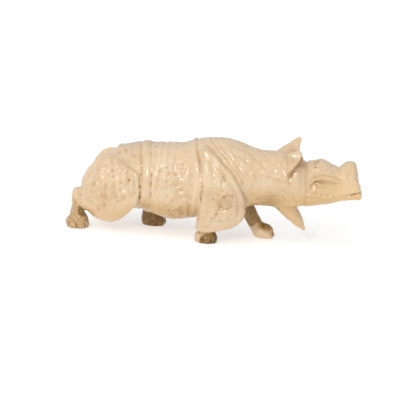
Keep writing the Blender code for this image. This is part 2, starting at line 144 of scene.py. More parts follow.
# The worn horn: a low square stump on the nose, what is left of the horn after long handling.
# It is part of the same block, and its flat sides run straight down into the muzzle.
HORN = (  # x and z of the middle, half length, half width, and how square the section is
    (61.2, 33.0, 5.6, 7.2, 3.4),
    (61.5, 37.6, 5.5, 6.6, 3.4),
    (61.8, 40.4, 4.5, 5.6, 3.0),
    (62.2, 41.8, 3.7, 4.7, 2.8),
    (62.6, 42.9, 2.9, 3.8, 2.6),
    (62.8, 43.6, 2.1, 2.8, 2.4),
    (62.9, 43.9, 1.2, 1.6, 2.2),
)


def stump(stations, around=48, steps=5):
    """Level superellipses: x = middle + half length * cos^(2/n), y = half width * sin^(2/n)."""
    angle = np.linspace(0, 2 * math.pi, around, endpoint=False)
    along, across = np.cos(angle), np.sin(angle)
    x, z, length, width, fullness = through(stations, steps).T[:, :, None]
    x = x + length * np.sign(along) * np.abs(along) ** (2 / fullness)
    y = width * np.sign(across) * np.abs(across) ** (2 / fullness)
    return np.stack([x, y, z + 0 * x], -1)


rough_out(stump(HORN))

# The armour: a thigh plate and a shoulder plate on each side, standing proud of the body like folded hide.
# Each outline is x, z and the rim's distance from the middle of the body. The far pair fits the other legs.
NEAR_RUMP = (
    (-51.2, 38.9, 10.5), (-46.4, 37.4, 13.2), (-40.5, 34.6, 16.0), (-34.4, 30.8, 17.8), (-33.6, 24.0, 18.4),
    (-33.8, 17.8, 18.0), (-36.6, 13.4, 16.5), (-40.3, 9.2, 14.5), (-44.2, 6.4, 13.0), (-48.1, 5.4, 12.5),
    (-53.2, 6.2, 12.0), (-57.3, 8.6, 11.5), (-60.6, 12.4, 10.5), (-63.2, 17.5, 9.5), (-62.8, 24.2, 9.0),
    (-60.8, 28.8, 9.0), (-58.4, 32.4, 9.0), (-55.0, 36.2, 9.4),
)
FAR_RUMP = (
    (-51.6, 37.8, 10.5), (-46.4, 36.8, 13.2), (-40.5, 34.6, 16.0), (-34.4, 30.8, 17.8), (-31.8, 24.0, 18.4),
    (-30.6, 18.0, 18.0), (-32.0, 13.4, 16.5), (-36.0, 10.8, 14.5), (-41.0, 9.8, 13.5), (-46.5, 10.0, 12.5),
    (-52.0, 10.8, 12.0), (-57.0, 12.4, 11.5), (-60.2, 15.0, 10.5), (-62.0, 18.0, 9.5), (-62.2, 22.4, 9.0),
    (-61.4, 27.0, 8.8), (-60.3, 31.0, 8.8), (-58.6, 34.0, 9.0), (-55.6, 36.6, 9.4),
)
NEAR_SHOULDER = (
    (-5.0, 44.6, 13.2), (1.0, 41.8, 14.6), (7.2, 37.2, 15.0), (11.8, 31.8, 14.6), (14.8, 24.8, 13.8),
    (15.8, 19.0, 13.2), (15.2, 13.6, 13.0), (12.4, 9.8, 13.4), (7.0, 7.4, 14.4), (1.0, 5.8, 15.4),
    (-5.0, 5.0, 15.4), (-6.6, 9.0, 15.4), (-6.0, 18.0, 17.0), (-5.6, 28.0, 17.8), (-6.0, 38.0, 16.4),
)
FAR_SHOULDER = (
    (-5.0, 44.6, 13.2), (1.0, 41.8, 14.6), (7.6, 37.6, 15.0), (13.4, 32.4, 14.4), (17.6, 26.6, 13.2),
    (19.6, 21.4, 12.4), (18.8, 17.4, 12.2), (15.0, 14.6, 12.6), (9.0, 12.2, 13.0), (3.0, 10.8, 13.4),
    (-3.0, 10.6, 14.2), (-5.8, 13.8, 15.6), (-5.8, 20.0, 17.2), (-5.6, 28.0, 17.8), (-6.0, 38.0, 16.4),
)
RUMP_CROWN, RUMP_INNER = 19.4, 5.5  # how far out the plate's outer face swells, and its inner face
SHOULDER_CROWN, SHOULDER_INNER = 19.6, 7.5
PLATE_FULLNESS = 3.0


def closed_through(rows, steps):
    """The curve through the rows, closed on itself."""
    rows = np.asarray(rows, float)
    whole = through(np.vstack([rows[-2:], rows, rows[:2]]), steps)
    return whole[2 * steps : (2 + len(rows)) * steps]


def plate(outline, side, crown, inner, steps=6, rings=14):
    """The rim drawn in to its middle on both faces: y = rim + (face - rim) * (1 - share^fullness)."""
    rim = closed_through(outline, steps)
    middle = rim[:, :2].mean(0)
    inward = np.linspace(0, 1, rings + 1)[1:]
    share = np.concatenate([inward, inward[-2::-1]])[:, None]
    face = np.concatenate([np.full(rings, inner), np.full(rings - 1, crown)])[:, None]
    xz = middle + (rim[None, :, :2] - middle) * share[:, :, None]
    y = rim[:, 2] + (face - rim[:, 2]) * (1 - share**PLATE_FULLNESS)
    return np.stack([xz[:, :, 0], side * y, xz[:, :, 1]], -1)


rough_out(plate(NEAR_RUMP, NEAR, RUMP_CROWN, RUMP_INNER))
rough_out(plate(FAR_RUMP, FAR, RUMP_CROWN, RUMP_INNER))
rough_out(plate(NEAR_SHOULDER, NEAR, SHOULDER_CROWN, SHOULDER_INNER))
rough_out(plate(FAR_SHOULDER, FAR, SHOULDER_CROWN, SHOULDER_INNER))

# The legs: short columns in mid stride, left standing when the block under the belly is cut away.
# Each row is x, distance from the middle, z and radius, from the body down to the sole.
NEAR_HIND_SHANK = (
    (-50.0, 11.5, 13.0, 5.5), (-56.5, 10.8, 14.0, 4.6), (-61.0, 10.0, 14.6, 4.2), (-63.6, 9.7, 16.8, 2.9),
)
NEAR_HIND_LEG = (
    (-62.6, 9.7, 19.8, 1.6), (-63.4, 9.7, 18.4, 2.9), (-64.0, 9.6, 15.0, 2.8), (-63.7, 9.5, 11.0, 2.9),
    (-63.5, 9.3, 7.8, 3.7), (-63.2, 9.2, 5.4, 4.9), (-63.2, 9.2, 3.4, 5.5), (-63.2, 9.2, 1.6, 5.1),
    (-63.2, 9.2, 0.2, 4.6),
)
FAR_HIND_LEG = (
    (-34.0, 11.0, 20.0, 5.6), (-31.2, 11.2, 14.0, 5.0), (-29.9, 11.4, 9.0, 5.4), (-29.6, 11.5, 5.4, 5.8),
    (-29.6, 11.5, 3.4, 5.8), (-29.4, 11.5, 0.2, 5.0),
)
NEAR_FRONT_LEG = (
    (0.0, 12.0, 17.0, 6.4), (-0.8, 12.2, 10.0, 5.2), (-1.4, 12.4, 6.6, 4.9), (-1.5, 12.4, 4.2, 5.2),
    (-1.5, 12.4, 2.5, 5.3), (-1.5, 12.4, 0.2, 4.8),
)
FAR_FRONT_LEG = (
    (10.5, 9.0, 25.0, 7.0), (14.2, 9.2, 17.2, 4.6), (17.6, 8.7, 11.9, 3.6), (20.6, 8.2, 7.2, 3.4),
    (22.6, 8.0, 4.4, 3.2),
)


def column(rows, side, around=36, steps=4):
    """Circles carried along a path, each square to it: the path turns only in the x-z plane's own frame."""
    x, y, z, radius = through(rows, steps).T
    path = np.stack([x, side * y, z], -1)
    ahead = np.gradient(path, axis=0)
    ahead /= np.linalg.norm(ahead, axis=1)[:, None]
    beside = np.cross(ahead, (0.0, 1.0, 0.0))
    beside /= np.linalg.norm(beside, axis=1)[:, None]
    above = np.cross(beside, ahead)
    angle = np.linspace(0, 2 * math.pi, around, endpoint=False)[:, None]
    spokes = np.cos(angle) * beside[:, None] + np.sin(angle) * above[:, None]
    return path[:, None] + radius[:, None, None] * spokes


rough_out(column(NEAR_HIND_SHANK, NEAR))
rough_out(column(NEAR_HIND_LEG, NEAR))
rough_out(column(FAR_HIND_LEG, FAR))
rough_out(column(NEAR_FRONT_LEG, NEAR))
rough_out(column(FAR_FRONT_LEG, FAR))

# The feet: rounded pads with three toes spread round the front of each, all flat on the ground.
# Each is the pad's x, distance from the middle and z, its radii, and how many degrees its toes turn outward.
NEAR_HIND_FOOT = ((-63.5, 9.3, 3.6), (5.5, 5.2, 3.8), 55)
FAR_HIND_FOOT = ((-29.4, 11.5, 3.8), (5.8, 5.4, 4.0), 20)
NEAR_FRONT_FOOT = ((-1.4, 12.4, 3.6), (5.3, 5.2, 3.6), 25)
FAR_FRONT_FOOT = ((24.5, 7.9, 4.1), (5.3, 5.0, 4.3), 15)
FEET = ((NEAR_HIND_FOOT, NEAR), (FAR_HIND_FOOT, FAR), (NEAR_FRONT_FOOT, NEAR), (FAR_FRONT_FOOT, FAR))
TOE_TURNS = (-52, 0, 52)
TOE_RADII, TOE_HEIGHT, TOE_INSET = (1.9, 1.9, 2.0), 2.8, 1.2


def pebble(middle, radii, around=40, rows=22):
    """An ellipsoid: rings of latitude from one pole to the other."""
    latitude = np.linspace(-math.pi / 2, math.pi / 2, rows + 2)[1:-1, None]
    angle = np.linspace(0, 2 * math.pi, around, endpoint=False)
    level = np.cos(latitude)
    unit = np.stack([level * np.cos(angle), level * np.sin(angle), np.sin(latitude) + 0 * angle], -1)
    return np.asarray(middle) + unit * np.asarray(radii)


for ((x, y, z), radii, outward), side in FEET:
    rough_out(pebble((x, side * y, z), radii))
    for turn in TOE_TURNS:
        angle = math.radians(outward + turn)
        toe_x = x + (radii[0] - TOE_INSET) * math.cos(angle)
        toe_y = y + (radii[1] - TOE_INSET) * math.sin(angle)
        rough_out(pebble((toe_x, side * toe_y, TOE_HEIGHT), TOE_RADII))

# The ears: leaf-shaped cups, open to the front, hollowed to a wall of little over a millimetre.
# Each row is the outer wall's front edge as x, distance from the middle and z, then how far the back lies
# behind it, half the width, and how far the inner wall's edge stands ahead of the outer one's.
NEAR_EAR = (
    (34.4, 9.2, 33.5, 0.8, 0.8, 0.2), (34.9, 9.6, 36.3, 1.6, 1.6, 0.5), (35.6, 9.8, 38.2, 2.6, 2.2, 1.2),
    (36.6, 9.9, 40.1, 4.1, 2.7, 2.2), (37.9, 10.0, 42.0, 5.8, 2.9, 2.3), (39.0, 10.0, 43.8, 7.0, 2.9, 1.5),
    (39.6, 10.0, 45.4, 7.6, 2.7, 0.5), (39.7, 10.0, 46.6, 7.0, 2.3, 0.1), (39.4, 10.0, 47.5, 4.0, 1.8, 0.0),
    (39.0, 9.9, 48.1, 2.2, 1.1, 0.0), (38.6, 9.8, 48.6, 0.9, 0.6, 0.0),
)
FAR_EAR = (
    (38.6, 6.8, 38.0, 11.0, 2.6, 0.0), (38.5, 7.4, 43.0, 11.6, 2.8, 0.0), (38.3, 8.4, 45.6, 9.2, 2.7, 0.0),
    (38.4, 9.0, 47.8, 6.4, 2.2, 0.0), (38.7, 9.3, 49.8, 4.1, 1.6, 0.0), (38.7, 9.5, 50.9, 2.6, 1.2, 0.0),
    (38.2, 9.6, 51.5, 1.2, 0.7, 0.0),
)
NEAR_EAR_ROOT = ((34.6, 7.4, 41.0), (4.4, 3.4, 4.6))  # middle and radii of the swelling that it grows from
EAR_WALL, EAR_WALL_SHARE, EAR_ROUNDNESS = 1.3, 0.8, 2.5  # the wall is at most this share of the cup's depth


def cup(stations, side, across=25, steps=8):
    """Level U-shaped sections, one above the other, with s from -1 to 1 across the opening.

    The outer wall lies depth * (1 - |s|^n) behind the open edge, and the inner one inside it by the wall."""
    s = np.linspace(-1, 1, across)
    bow = 1 - np.abs(s) ** EAR_ROUNDNESS
    x, y, z, depth, half_width, ahead = through(stations, steps).T[:, :, None]
    edge = x + ahead * (1 - s) / 2
    wall = np.minimum(EAR_WALL, EAR_WALL_SHARE * np.minimum(half_width, depth))
    outer_x, outer_y = edge - depth * bow, y + half_width * s
    inner_x, inner_y = edge - (depth - wall) * bow, y + (half_width - wall) * s
    ring_x = np.concatenate([outer_x, inner_x[:, ::-1]], 1)
    ring_y = np.concatenate([outer_y, inner_y[:, ::-1]], 1)
    return np.stack([ring_x, side * ring_y, z + 0 * ring_x], -1)


rough_out(cup(NEAR_EAR, NEAR))
rough_out(cup(FAR_EAR, FAR))
(root_x, root_y, root_z), root_radii = NEAR_EAR_ROOT
rough_out(pebble((root_x, NEAR * root_y, root_z), root_radii))

# The throat fold and the tail: a pointed lappet of hide under the jaw, and a tail laid flat on the rump.
# The fold's rows are x, z, half thickness in its plane and across it. The tail's are those of a leg.
THROAT_SPIKE = (
    (33.0, 21.0, 4.6, 5.4), (36.8, 17.2, 4.0, 4.2), (40.0, 13.6, 3.1, 2.8), (42.6, 10.8, 1.9, 1.8),
    (44.1, 8.8, 0.8, 0.9), (44.6, 8.0, 0.3, 0.3),
)
TAIL = ((-52.5, 0.0, 34.6, 2.4), (-57.8, 0.0, 27.8, 2.0), (-60.6, 0.3, 20.5, 1.7), (-60.8, 0.6, 13.5, 1.5))


def lappet(rows, around=32, steps=6):
    """Ovals square to the line that the fold's middle follows."""
    x, z, thick, wide = through(rows, steps).T
    slope = np.gradient(np.stack([x, z], -1), axis=0)
    dx, dz = (slope / np.linalg.norm(slope, axis=1)[:, None]).T[:, :, None]
    angle = np.linspace(0, 2 * math.pi, around, endpoint=False)
    lift = thick[:, None] * np.sin(angle)
    return np.stack([x[:, None] - dz * lift, wide[:, None] * np.cos(angle), z[:, None] + dx * lift], -1)


rough_out(lappet(THROAT_SPIKE))
rough_out(column(TAIL, FAR))

# One skin: the forms grow into each other where they overlap, as they do in a single piece of ivory.
# The corners are then rubbed down a little, as the carver does with a scraper before the fine cuts.
SKIN_GRAIN = 0.49  # the size of the skin's cells, in shares
RUBBINGS, RUBBING_STRENGTH = 7, 0.5
MOVED = (-0.492, 0.023, -1.2)  # from the tables' own ground and middle to the figure's, in shares


def settled(made):
    """Makes an object's evaluated shape its own mesh, with no modifiers left."""
    shown = made.evaluated_get(bpy.context.evaluated_depsgraph_get())
    mesh = bpy.data.meshes.new_from_object(shown)
    made.modifiers.clear()
    made.data = mesh


starts = np.cumsum([0] + [len(points) for points, faces in roughed_out])[:-1]
block_points = np.concatenate([points for points, faces in roughed_out]) * SHARE
block_faces = np.concatenate([faces + start for (points, faces), start in zip(roughed_out, starts)])
block = bpy.data.meshes.new("carved_rhinoceros")
block.from_pydata(block_points.tolist(), [], block_faces.tolist())
rhinoceros = bpy.data.objects.new("carved_rhinoceros", block)
bpy.context.scene.collection.objects.link(rhinoceros)
one_skin = rhinoceros.modifiers.new("one_skin", "REMESH")
one_skin.mode = "VOXEL"
one_skin.voxel_size = SKIN_GRAIN * SHARE
rubbing = rhinoceros.modifiers.new("rubbed_corners", "SMOOTH")
rubbing.factor = RUBBING_STRENGTH
rubbing.iterations = RUBBINGS
settled(rhinoceros)

count = len(rhinoceros.data.vertices)
co = np.zeros(count * 3)
no = np.zeros(count * 3)
rhinoceros.data.vertices.foreach_get("co", co)
rhinoceros.data.vertices.foreach_get("normal", no)
points = co.reshape(-1, 3) / SHARE
normals = no.reshape(-1, 3)
lift = np.zeros(count)  # how far the fine cuts raise or sink each point along its normal, in shares
# It holds painted shade as well: the inside of the near ear and every hollow are darkened in it further down.
stain_and_shade = np.zeros(count)  # how much brown has settled in the cuts, from 0 to 1

# The folds: grooves and rolled ridges that part the plates, cut right round the body with a V tool.
# Each is a line of x, z seen from the side, its half width and lift, how brown it is, and how flat below.
FOLDS = (
    (((-33.8, 11.0), (-33.6, 15.6), (-33.1, 20.7), (-33.4, 26.0), (-33.6, 31.2), (-33.8, 34.4),
      (-34.8, 38.5), (-36.1, 43.0), (-37.2, 45.5)), 0.50, -0.60, 0.10, 2),
    (((-31.1, 11.0), (-30.8, 20.0), (-31.0, 26.6), (-31.5, 36.6), (-33.1, 41.0), (-34.7, 45.5)),
     1.9, 0.55, 0.0, 3),
    (((-28.6, 16.0), (-28.6, 21.4), (-28.6, 25.2), (-28.7, 31.2), (-29.6, 34.2), (-30.1, 38.8),
      (-31.3, 43.0), (-32.0, 45.6)), 0.45, -0.4, 0.05, 2),
    (((-8.8, 12.5), (-8.6, 18.0), (-7.6, 23.6), (-7.2, 29.8), (-7.6, 35.6), (-9.6, 41.9), (-10.9, 46.3),
      (-11.6, 49.0)), 1.4, 0.5, 0.0, 2),
    (((-10.2, 14.0), (-9.8, 20.0), (-9.0, 26.3), (-9.2, 30.9), (-10.5, 37.5), (-12.0, 42.7), (-13.2, 46.5)),
     0.9, -0.5, 0.1, 2),
    (((-5.6, 12.0), (-5.4, 17.9), (-5.3, 20.9), (-5.0, 25.7), (-5.3, 31.3), (-6.9, 38.6), (-8.7, 43.2),
      (-9.7, 46.5), (-10.2, 49.5)), 0.5, -0.7, 0.10, 2),
    (((-52.0, 38.8), (-49.4, 38.4), (-43.5, 36.6), (-38.6, 34.6), (-34.6, 32.4)), 1.9, -0.4, 0.0, 4),
    (((-50.0, 36.2), (-44.0, 34.2), (-39.0, 32.0), (-35.6, 30.0)), 1.0, 0.4, 0.0, 2),
    (((-47.4, 40.6), (-42.6, 39.2), (-37.6, 37.4), (-35.2, 35.6)), 1.0, 0.35, 0.0, 2),
    (((-5.0, 46.8), (-0.6, 43.8), (3.7, 40.3), (7.5, 36.6), (10.8, 32.7), (13.3, 28.3), (15.3, 23.9),
      (15.9, 19.0)), 0.7, -0.9, 0.12, 2),
    (((-8.0, 6.4), (-5.7, 5.9), (-0.3, 5.9), (5.2, 6.5), (7.4, 7.4)), 0.65, -1.1, 0.30, 2),
)

# The dots: where the V tool went deepest, the grain tore in a row of tiny holes.
# Each row is its line, half width, depth and how brown it is.
DOTTED = (
    (((-33.6, 31.2), (-33.8, 34.6)), 0.38, 0.28, 0.61),
    (((-33.2, 17.4), (-33.1, 20.7), (-33.4, 27.4)), 0.31, 0.30, 0.66),
    (((-36.0, 42.0), (-34.8, 38.5), (-33.9, 35.4)), 0.32, 0.16, 0.34),
    (((-28.6, 21.0), (-28.6, 25.2), (-28.7, 31.2), (-29.0, 33.6)), 0.35, 0.26, 0.58),
    (((-31.0, 42.4), (-30.1, 38.8), (-29.6, 34.6)), 0.28, 0.12, 0.34),
    (((-5.2, 20.6), (-5.0, 25.7), (-5.1, 28.0)), 0.38, 0.28, 0.61),
    (((-6.9, 38.4), (-8.0, 41.5), (-8.7, 43.6)), 0.34, 0.20, 0.54),
    (((-5.3, 30.0), (-6.2, 35.0)), 0.28, 0.12, 0.31),
)

# The wrinkles: shallow wavy cuts down the rump and flank, a fan of them over the neck, and knife flicks on
# the hide and the toes. Each is its line, half width and lift, and how brown it is.
WRINKLES = (
    (((-55.8, 27.6), (-57.0, 22.2), (-54.6, 18.9), (-52.5, 15.2), (-52.7, 11.0)), 0.95, -0.75, 0.3),
    (((-55.1, 31.6), (-52.9, 25.3), (-51.8, 21.2), (-49.3, 18.1), (-49.6, 13.0)), 0.95, -0.8, 0.35),
    (((-50.8, 35.6), (-50.7, 29.7), (-49.4, 26.2), (-49.5, 21.5), (-48.3, 17.8), (-46.8, 14.4)),
     0.9, -0.75, 0.3),
    (((-47.8, 35.9), (-46.3, 28.4), (-45.3, 25.2), (-45.3, 21.9), (-44.1, 18.2), (-42.1, 15.4)),
     0.95, -0.8, 0.35),
    (((-43.4, 34.2), (-42.9, 27.8), (-41.7, 24.2), (-42.4, 21.2), (-39.9, 18.1)), 0.9, -0.75, 0.3),
    (((-39.4, 32.2), (-38.8, 28.2), (-38.9, 24.4), (-36.9, 20.7)), 0.85, -0.65, 0.25),
    (((-36.9, 30.6), (-36.3, 26.1), (-35.6, 21.8)), 0.7, -0.5, 0.15),
    (((-58.6, 30.6), (-59.6, 25.0), (-58.4, 19.0), (-55.6, 13.6)), 0.8, -0.45, 0.15),
    (((-53.0, 34.8), (-54.2, 29.0), (-55.2, 24.0), (-53.4, 20.4)), 0.6, -0.4, 0.15),
    (((-48.9, 33.0), (-47.9, 27.0), (-47.4, 22.4), (-46.0, 18.8)), 0.6, -0.4, 0.15),
    (((-45.4, 32.0), (-44.4, 28.0), (-43.6, 24.0), (-43.6, 19.6)), 0.6, -0.4, 0.15),
    (((-51.8, 15.0), (-49.6, 16.4), (-46.4, 14.0), (-44.0, 13.4)), 0.8, 0.4, 0.0),
    (((-45.9, 42.6), (-45.7, 41.0), (-45.7, 39.0)), 0.8, -0.6, 0.3),
    (((-44.0, 43.4), (-43.6, 41.5), (-42.1, 39.0)), 0.8, -0.6, 0.3),
    (((-40.6, 44.6), (-40.3, 42.5), (-39.3, 40.6), (-37.9, 38.0)), 0.8, -0.65, 0.3),
    (((-38.0, 45.0), (-37.6, 42.4), (-36.4, 39.4)), 0.7, -0.4, 0.15),
    (((-28.9, 44.6), (-28.0, 39.0), (-28.5, 36.0), (-27.6, 32.6)), 0.8, -0.5, 0.25),
    (((-25.7, 45.0), (-24.9, 38.2), (-25.0, 33.9), (-25.4, 29.3), (-25.6, 25.1)), 0.9, -0.65, 0.3),
    (((-22.4, 45.0), (-22.0, 40.0), (-22.2, 35.4)), 0.8, -0.5, 0.2),
    (((-20.8, 33.1), (-21.0, 29.8), (-21.9, 26.4)), 0.8, -0.6, 0.2),
    (((-18.9, 45.6), (-18.6, 41.0), (-19.0, 37.0)), 0.8, -0.45, 0.15),
    (((-15.4, 46.0), (-15.0, 41.6), (-15.6, 38.6)), 0.8, -0.45, 0.15),
    (((-23.4, 24.8), (-20.0, 25.8), (-17.0, 28.2), (-15.2, 30.6)), 0.9, -0.45, 0.2),
    (((-18.8, 32.8), (-16.2, 30.2), (-13.0, 29.4)), 0.8, 0.45, 0.0),
    (((-20.6, 34.6), (-18.4, 31.4), (-19.2, 28.0)), 0.8, 0.5, 0.0),
    (((-30.2, 18.8), (-31.3, 16.4), (-31.9, 13.4)), 1.3, -1.0, 0.5),
    (((-18.0, 19.8), (-15.4, 21.4), (-11.3, 22.7), (-8.8, 19.5), (-9.1, 15.1)), 1.1, -0.7, 0.15),
    (((-18.2, 14.6), (-16.0, 17.2), (-12.8, 18.6), (-10.6, 16.6), (-11.4, 13.6)), 1.0, 0.6, 0.0),
    (((-20.4, 16.6), (-18.4, 12.6), (-15.0, 11.2)), 1.0, -0.5, 0.2),
    (((-15.8, 14.6), (-13.6, 15.4), (-13.0, 12.6)), 0.8, -0.6, 0.25),
    (((-26.0, 15.0), (-22.6, 14.4), (-19.0, 14.8)), 0.8, -0.4, 0.3),
    (((-66.0, 14.6), (-64.0, 12.4), (-61.6, 10.6)), 0.6, -0.9, 0.7),
    (((-66.6, 12.4), (-64.6, 11.0)), 0.5, -0.6, 0.4),
    (((-63.0, 18.6), (-62.4, 16.0), (-62.2, 13.4)), 0.6, -0.6, 0.3),
    (((-4.7, 43.1), (-3.3, 33.7), (-2.3, 27.9), (-2.7, 21.4), (-4.1, 14.4), (-4.8, 9.4)), 1.5, 0.3, 0.0),
    (((-1.1, 40.3), (0.2, 32.5), (0.4, 25.7), (-0.2, 20.5), (-1.3, 15.9), (-3.1, 9.7)), 0.9, -0.55, 0.15),
    (((-5.4, 43.4), (-3.3, 43.2), (0.0, 41.2), (3.3, 38.3), (6.8, 36.0), (9.9, 32.4), (12.0, 29.5),
      (13.9, 25.9), (15.0, 21.7), (15.0, 17.4), (13.8, 13.4)), 1.2, 0.9, 0.0),
    (((-1.4, 41.9), (2.5, 37.8), (5.8, 34.4), (8.7, 30.9), (11.1, 27.2), (12.8, 22.5), (13.2, 17.7),
      (11.0, 13.2), (5.7, 12.0), (1.6, 12.6)), 0.9, -0.5, 0.1),
    (((-3.1, 48.3), (1.4, 44.7), (5.2, 41.5), (8.6, 37.7), (11.9, 34.2), (13.8, 30.6)), 0.55, -0.8, 0.3),
    (((-1.1, 48.9), (2.9, 46.0), (6.7, 42.8), (10.1, 39.1), (12.6, 35.6)), 0.55, -0.6, 0.2),
    (((2.2, 49.4), (5.6, 46.6), (9.4, 42.6), (12.2, 38.6)), 0.5, -0.35, 0.1),
    (((8.6, 38.6), (11.0, 36.0), (12.9, 33.4)), 0.7, 0.8, 0.0),
    (((7.3, 47.0), (10.3, 46.2), (14.3, 44.9), (17.5, 42.8), (19.4, 40.8)), 0.5, -0.35, 0.35),
    (((9.1, 43.8), (13.1, 41.9), (15.4, 40.5), (17.4, 38.4)), 0.5, -0.35, 0.3),
    (((20.7, 44.7), (22.8, 43.9), (25.2, 42.2)), 0.5, -0.35, 0.35),
    (((20.9, 39.8), (23.2, 38.3), (25.4, 37.1)), 0.5, -0.3, 0.3),
    (((13.4, 46.6), (17.0, 45.2), (20.6, 42.6)), 0.6, -0.3, 0.1),
    (((17.6, 35.2), (19.3, 36.0), (22.6, 36.3), (25.2, 36.1), (28.7, 35.2), (31.3, 34.6),
      (33.5, 33.9)), 1.2, 0.75, 0.0),
    (((18.6, 33.4), (23.0, 34.0), (28.0, 33.2), (32.0, 32.0)), 1.2, -0.4, 0.0),
    (((20.4, 22.4), (23.7, 24.3), (27.9, 25.0), (32.1, 25.9), (34.0, 23.5)), 0.7, -0.35, 0.5),
    (((32.7, 28.1), (35.1, 25.6), (38.2, 23.4)), 1.1, -0.65, 0.15),
    (((34.6, 34.6), (35.6, 30.0), (37.4, 26.0), (39.6, 23.0)), 0.8, -0.7, 0.25),
    (((38.4, 37.0), (38.4, 33.0), (38.6, 29.0)), 1.2, 0.5, 0.0),
    (((40.8, 38.4), (40.6, 33.0), (40.8, 28.0)), 0.8, -0.35, 0.0),
    (((33.6, 34.2), (35.2, 33.4)), 0.8, 0.6, 0.0),
    (((36.0, 18.6), (38.6, 19.2), (41.0, 19.8)), 0.8, -0.4, 0.1),
    (((-5.8, 7.4), (0.0, 7.4), (5.6, 8.2)), 0.9, 0.6, 0.0),
    (((-66.6, 6.0), (-64.9, 4.7), (-63.4, 5.5)), 0.5, -0.6, 0.8),
    (((-65.4, 8.6), (-63.6, 7.6), (-62.2, 8.4)), 0.5, -0.6, 0.7),
    (((-62.8, 6.8), (-61.4, 5.2), (-60.4, 5.8)), 0.5, -0.6, 0.8),
    (((24.8, 8.0), (26.4, 4.8)), 0.5, -1.0, 1.6),
    (((26.2, 7.6), (27.9, 4.2)), 0.5, -1.0, 1.6),
    (((27.6, 7.0), (29.2, 3.4)), 0.5, -1.0, 1.6),
)

# The tears: short crooked cracks in the middle of the shoulder plate, where the grain broke out.
# Each is its line, half width and lift, and how brown it is.
TEARS = (
    (((5.0, 34.2), (5.7, 32.6)), 0.60, -0.42, 0.41),
    (((3.9, 31.9), (4.6, 31.1)), 0.55, -0.30, 0.31),
    (((2.3, 25.4), (4.0, 25.7), (5.3, 24.4), (6.5, 25.4), (7.8, 25.8), (9.2, 26.0), (10.4, 25.0)),
     0.55, -0.36, 0.35),
    (((6.5, 24.6), (7.2, 22.4), (7.5, 21.4)), 0.65, -0.42, 0.41),
    (((0.8, 23.1), (2.4, 22.9)), 0.75, -0.36, 0.35),
    (((3.3, 20.9), (5.5, 19.5), (7.0, 18.4), (8.6, 19.1)), 0.60, -0.42, 0.41),
    (((9.0, 20.4), (10.3, 20.2)), 0.55, -0.30, 0.31),
    (((2.9, 18.1), (4.4, 18.3)), 0.55, -0.30, 0.31),
    (((2.4, 16.3), (3.9, 15.8)), 0.60, -0.30, 0.31),
    (((0.1, 14.7), (1.8, 14.0), (2.8, 15.0)), 0.60, -0.30, 0.31),
    (((4.6, 12.6), (7.2, 13.7), (8.5, 14.0), (10.2, 13.6)), 0.50, -0.21, 0.16),
    (((4.2, 28.4), (5.6, 27.6)), 0.55, -0.24, 0.23),
)

# The face: a brow over a slanting arch, a long hollow eye under it, rippled cheeks, and a mouth cut back
# from the lip. The marks are made as the wrinkles are, only finer.
FACE = (
    (((42.1, 42.4), (42.1, 40.6), (42.6, 36.2), (43.1, 31.3), (43.4, 27.8), (43.6, 22.4)), 0.6, -0.6, 0.15),
    (((45.0, 39.2), (48.6, 40.0), (52.0, 39.2)), 2.1, 0.75, 0.0),
    (((44.2, 33.9), (45.3, 35.0), (47.5, 36.5), (50.4, 37.4), (53.8, 37.2), (56.8, 36.5),
      (58.6, 35.8)), 0.6, -0.55, 0.16),
    (((44.6, 33.2), (46.7, 35.0), (48.9, 36.0), (51.5, 36.3), (54.2, 36.1), (56.9, 35.4),
      (59.4, 34.4)), 0.75, 0.5, 0.0),
    (((46.7, 34.1), (48.0, 34.5), (49.6, 34.2), (51.1, 34.0), (53.0, 33.9), (54.4, 34.2)), 0.8, -0.5, 0.18),
    (((48.0, 34.5), (49.4, 34.2)), 0.7, -0.3, 0.2),
    (((47.2, 34.0), (47.8, 33.0), (48.8, 32.0)), 0.6, -0.45, 0.25),
    (((48.8, 31.6), (50.9, 31.9), (53.6, 32.7), (56.6, 33.9)), 0.5, -0.3, 0.15),
    (((48.8, 32.9), (51.4, 32.9), (54.0, 33.4)), 0.6, 0.3, 0.0),
    (((49.4, 30.7), (52.9, 30.1)), 1.2, 0.35, 0.0),
    (((43.8, 31.4), (44.8, 31.8), (45.9, 32.8)), 0.7, -0.45, 0.2),
    (((43.8, 29.9), (45.2, 30.2), (46.0, 31.0)), 0.6, -0.35, 0.2),
    (((44.2, 27.6), (46.9, 27.4), (48.8, 27.3), (49.7, 28.4)), 0.6, 0.45, 0.0),
    (((44.0, 28.8), (46.6, 28.6), (48.6, 28.6)), 0.55, -0.35, 0.1),
    (((44.2, 26.2), (46.8, 25.9), (49.6, 26.4)), 0.6, -0.35, 0.05),
    (((52.0, 26.5), (53.6, 27.0), (54.6, 27.0), (55.6, 28.0)), 0.55, 0.4, 0.0),
    (((51.2, 27.8), (53.2, 28.4), (56.0, 28.9)), 0.6, -0.25, 0.0),
    (((57.0, 31.6), (60.4, 31.2), (63.4, 31.6)), 1.4, -0.25, 0.0),
    (((59.6, 28.1), (61.6, 28.4), (63.8, 28.9), (66.5, 29.7)), 0.5, -0.4, 0.14),
    (((64.6, 29.1), (66.6, 29.7), (68.1, 30.4), (70.4, 31.0)), 0.55, -0.8, 0.3),
    (((63.8, 30.2), (66.0, 31.0), (68.0, 31.6)), 0.8, 0.3, 0.0),
    (((57.6, 40.6), (58.8, 37.9), (59.8, 35.0)), 1.0, -0.4, 0.05),
    (((60.6, 39.6), (60.8, 37.4), (61.0, 35.4)), 0.8, 0.3, 0.0),
    (((54.4, 41.8), (55.4, 39.4), (56.8, 37.6)), 1.0, -0.3, 0.05),
    (((67.6, 33.8), (70.0, 33.6)), 0.6, -0.25, 0.0),
)
ARCH = ((43.8, 32.6), (46.7, 35.0), (48.9, 35.9), (51.5, 36.2), (54.2, 36.0), (56.9, 35.3), (60.4, 33.8))
SOCKET_DEPTH = 0.6
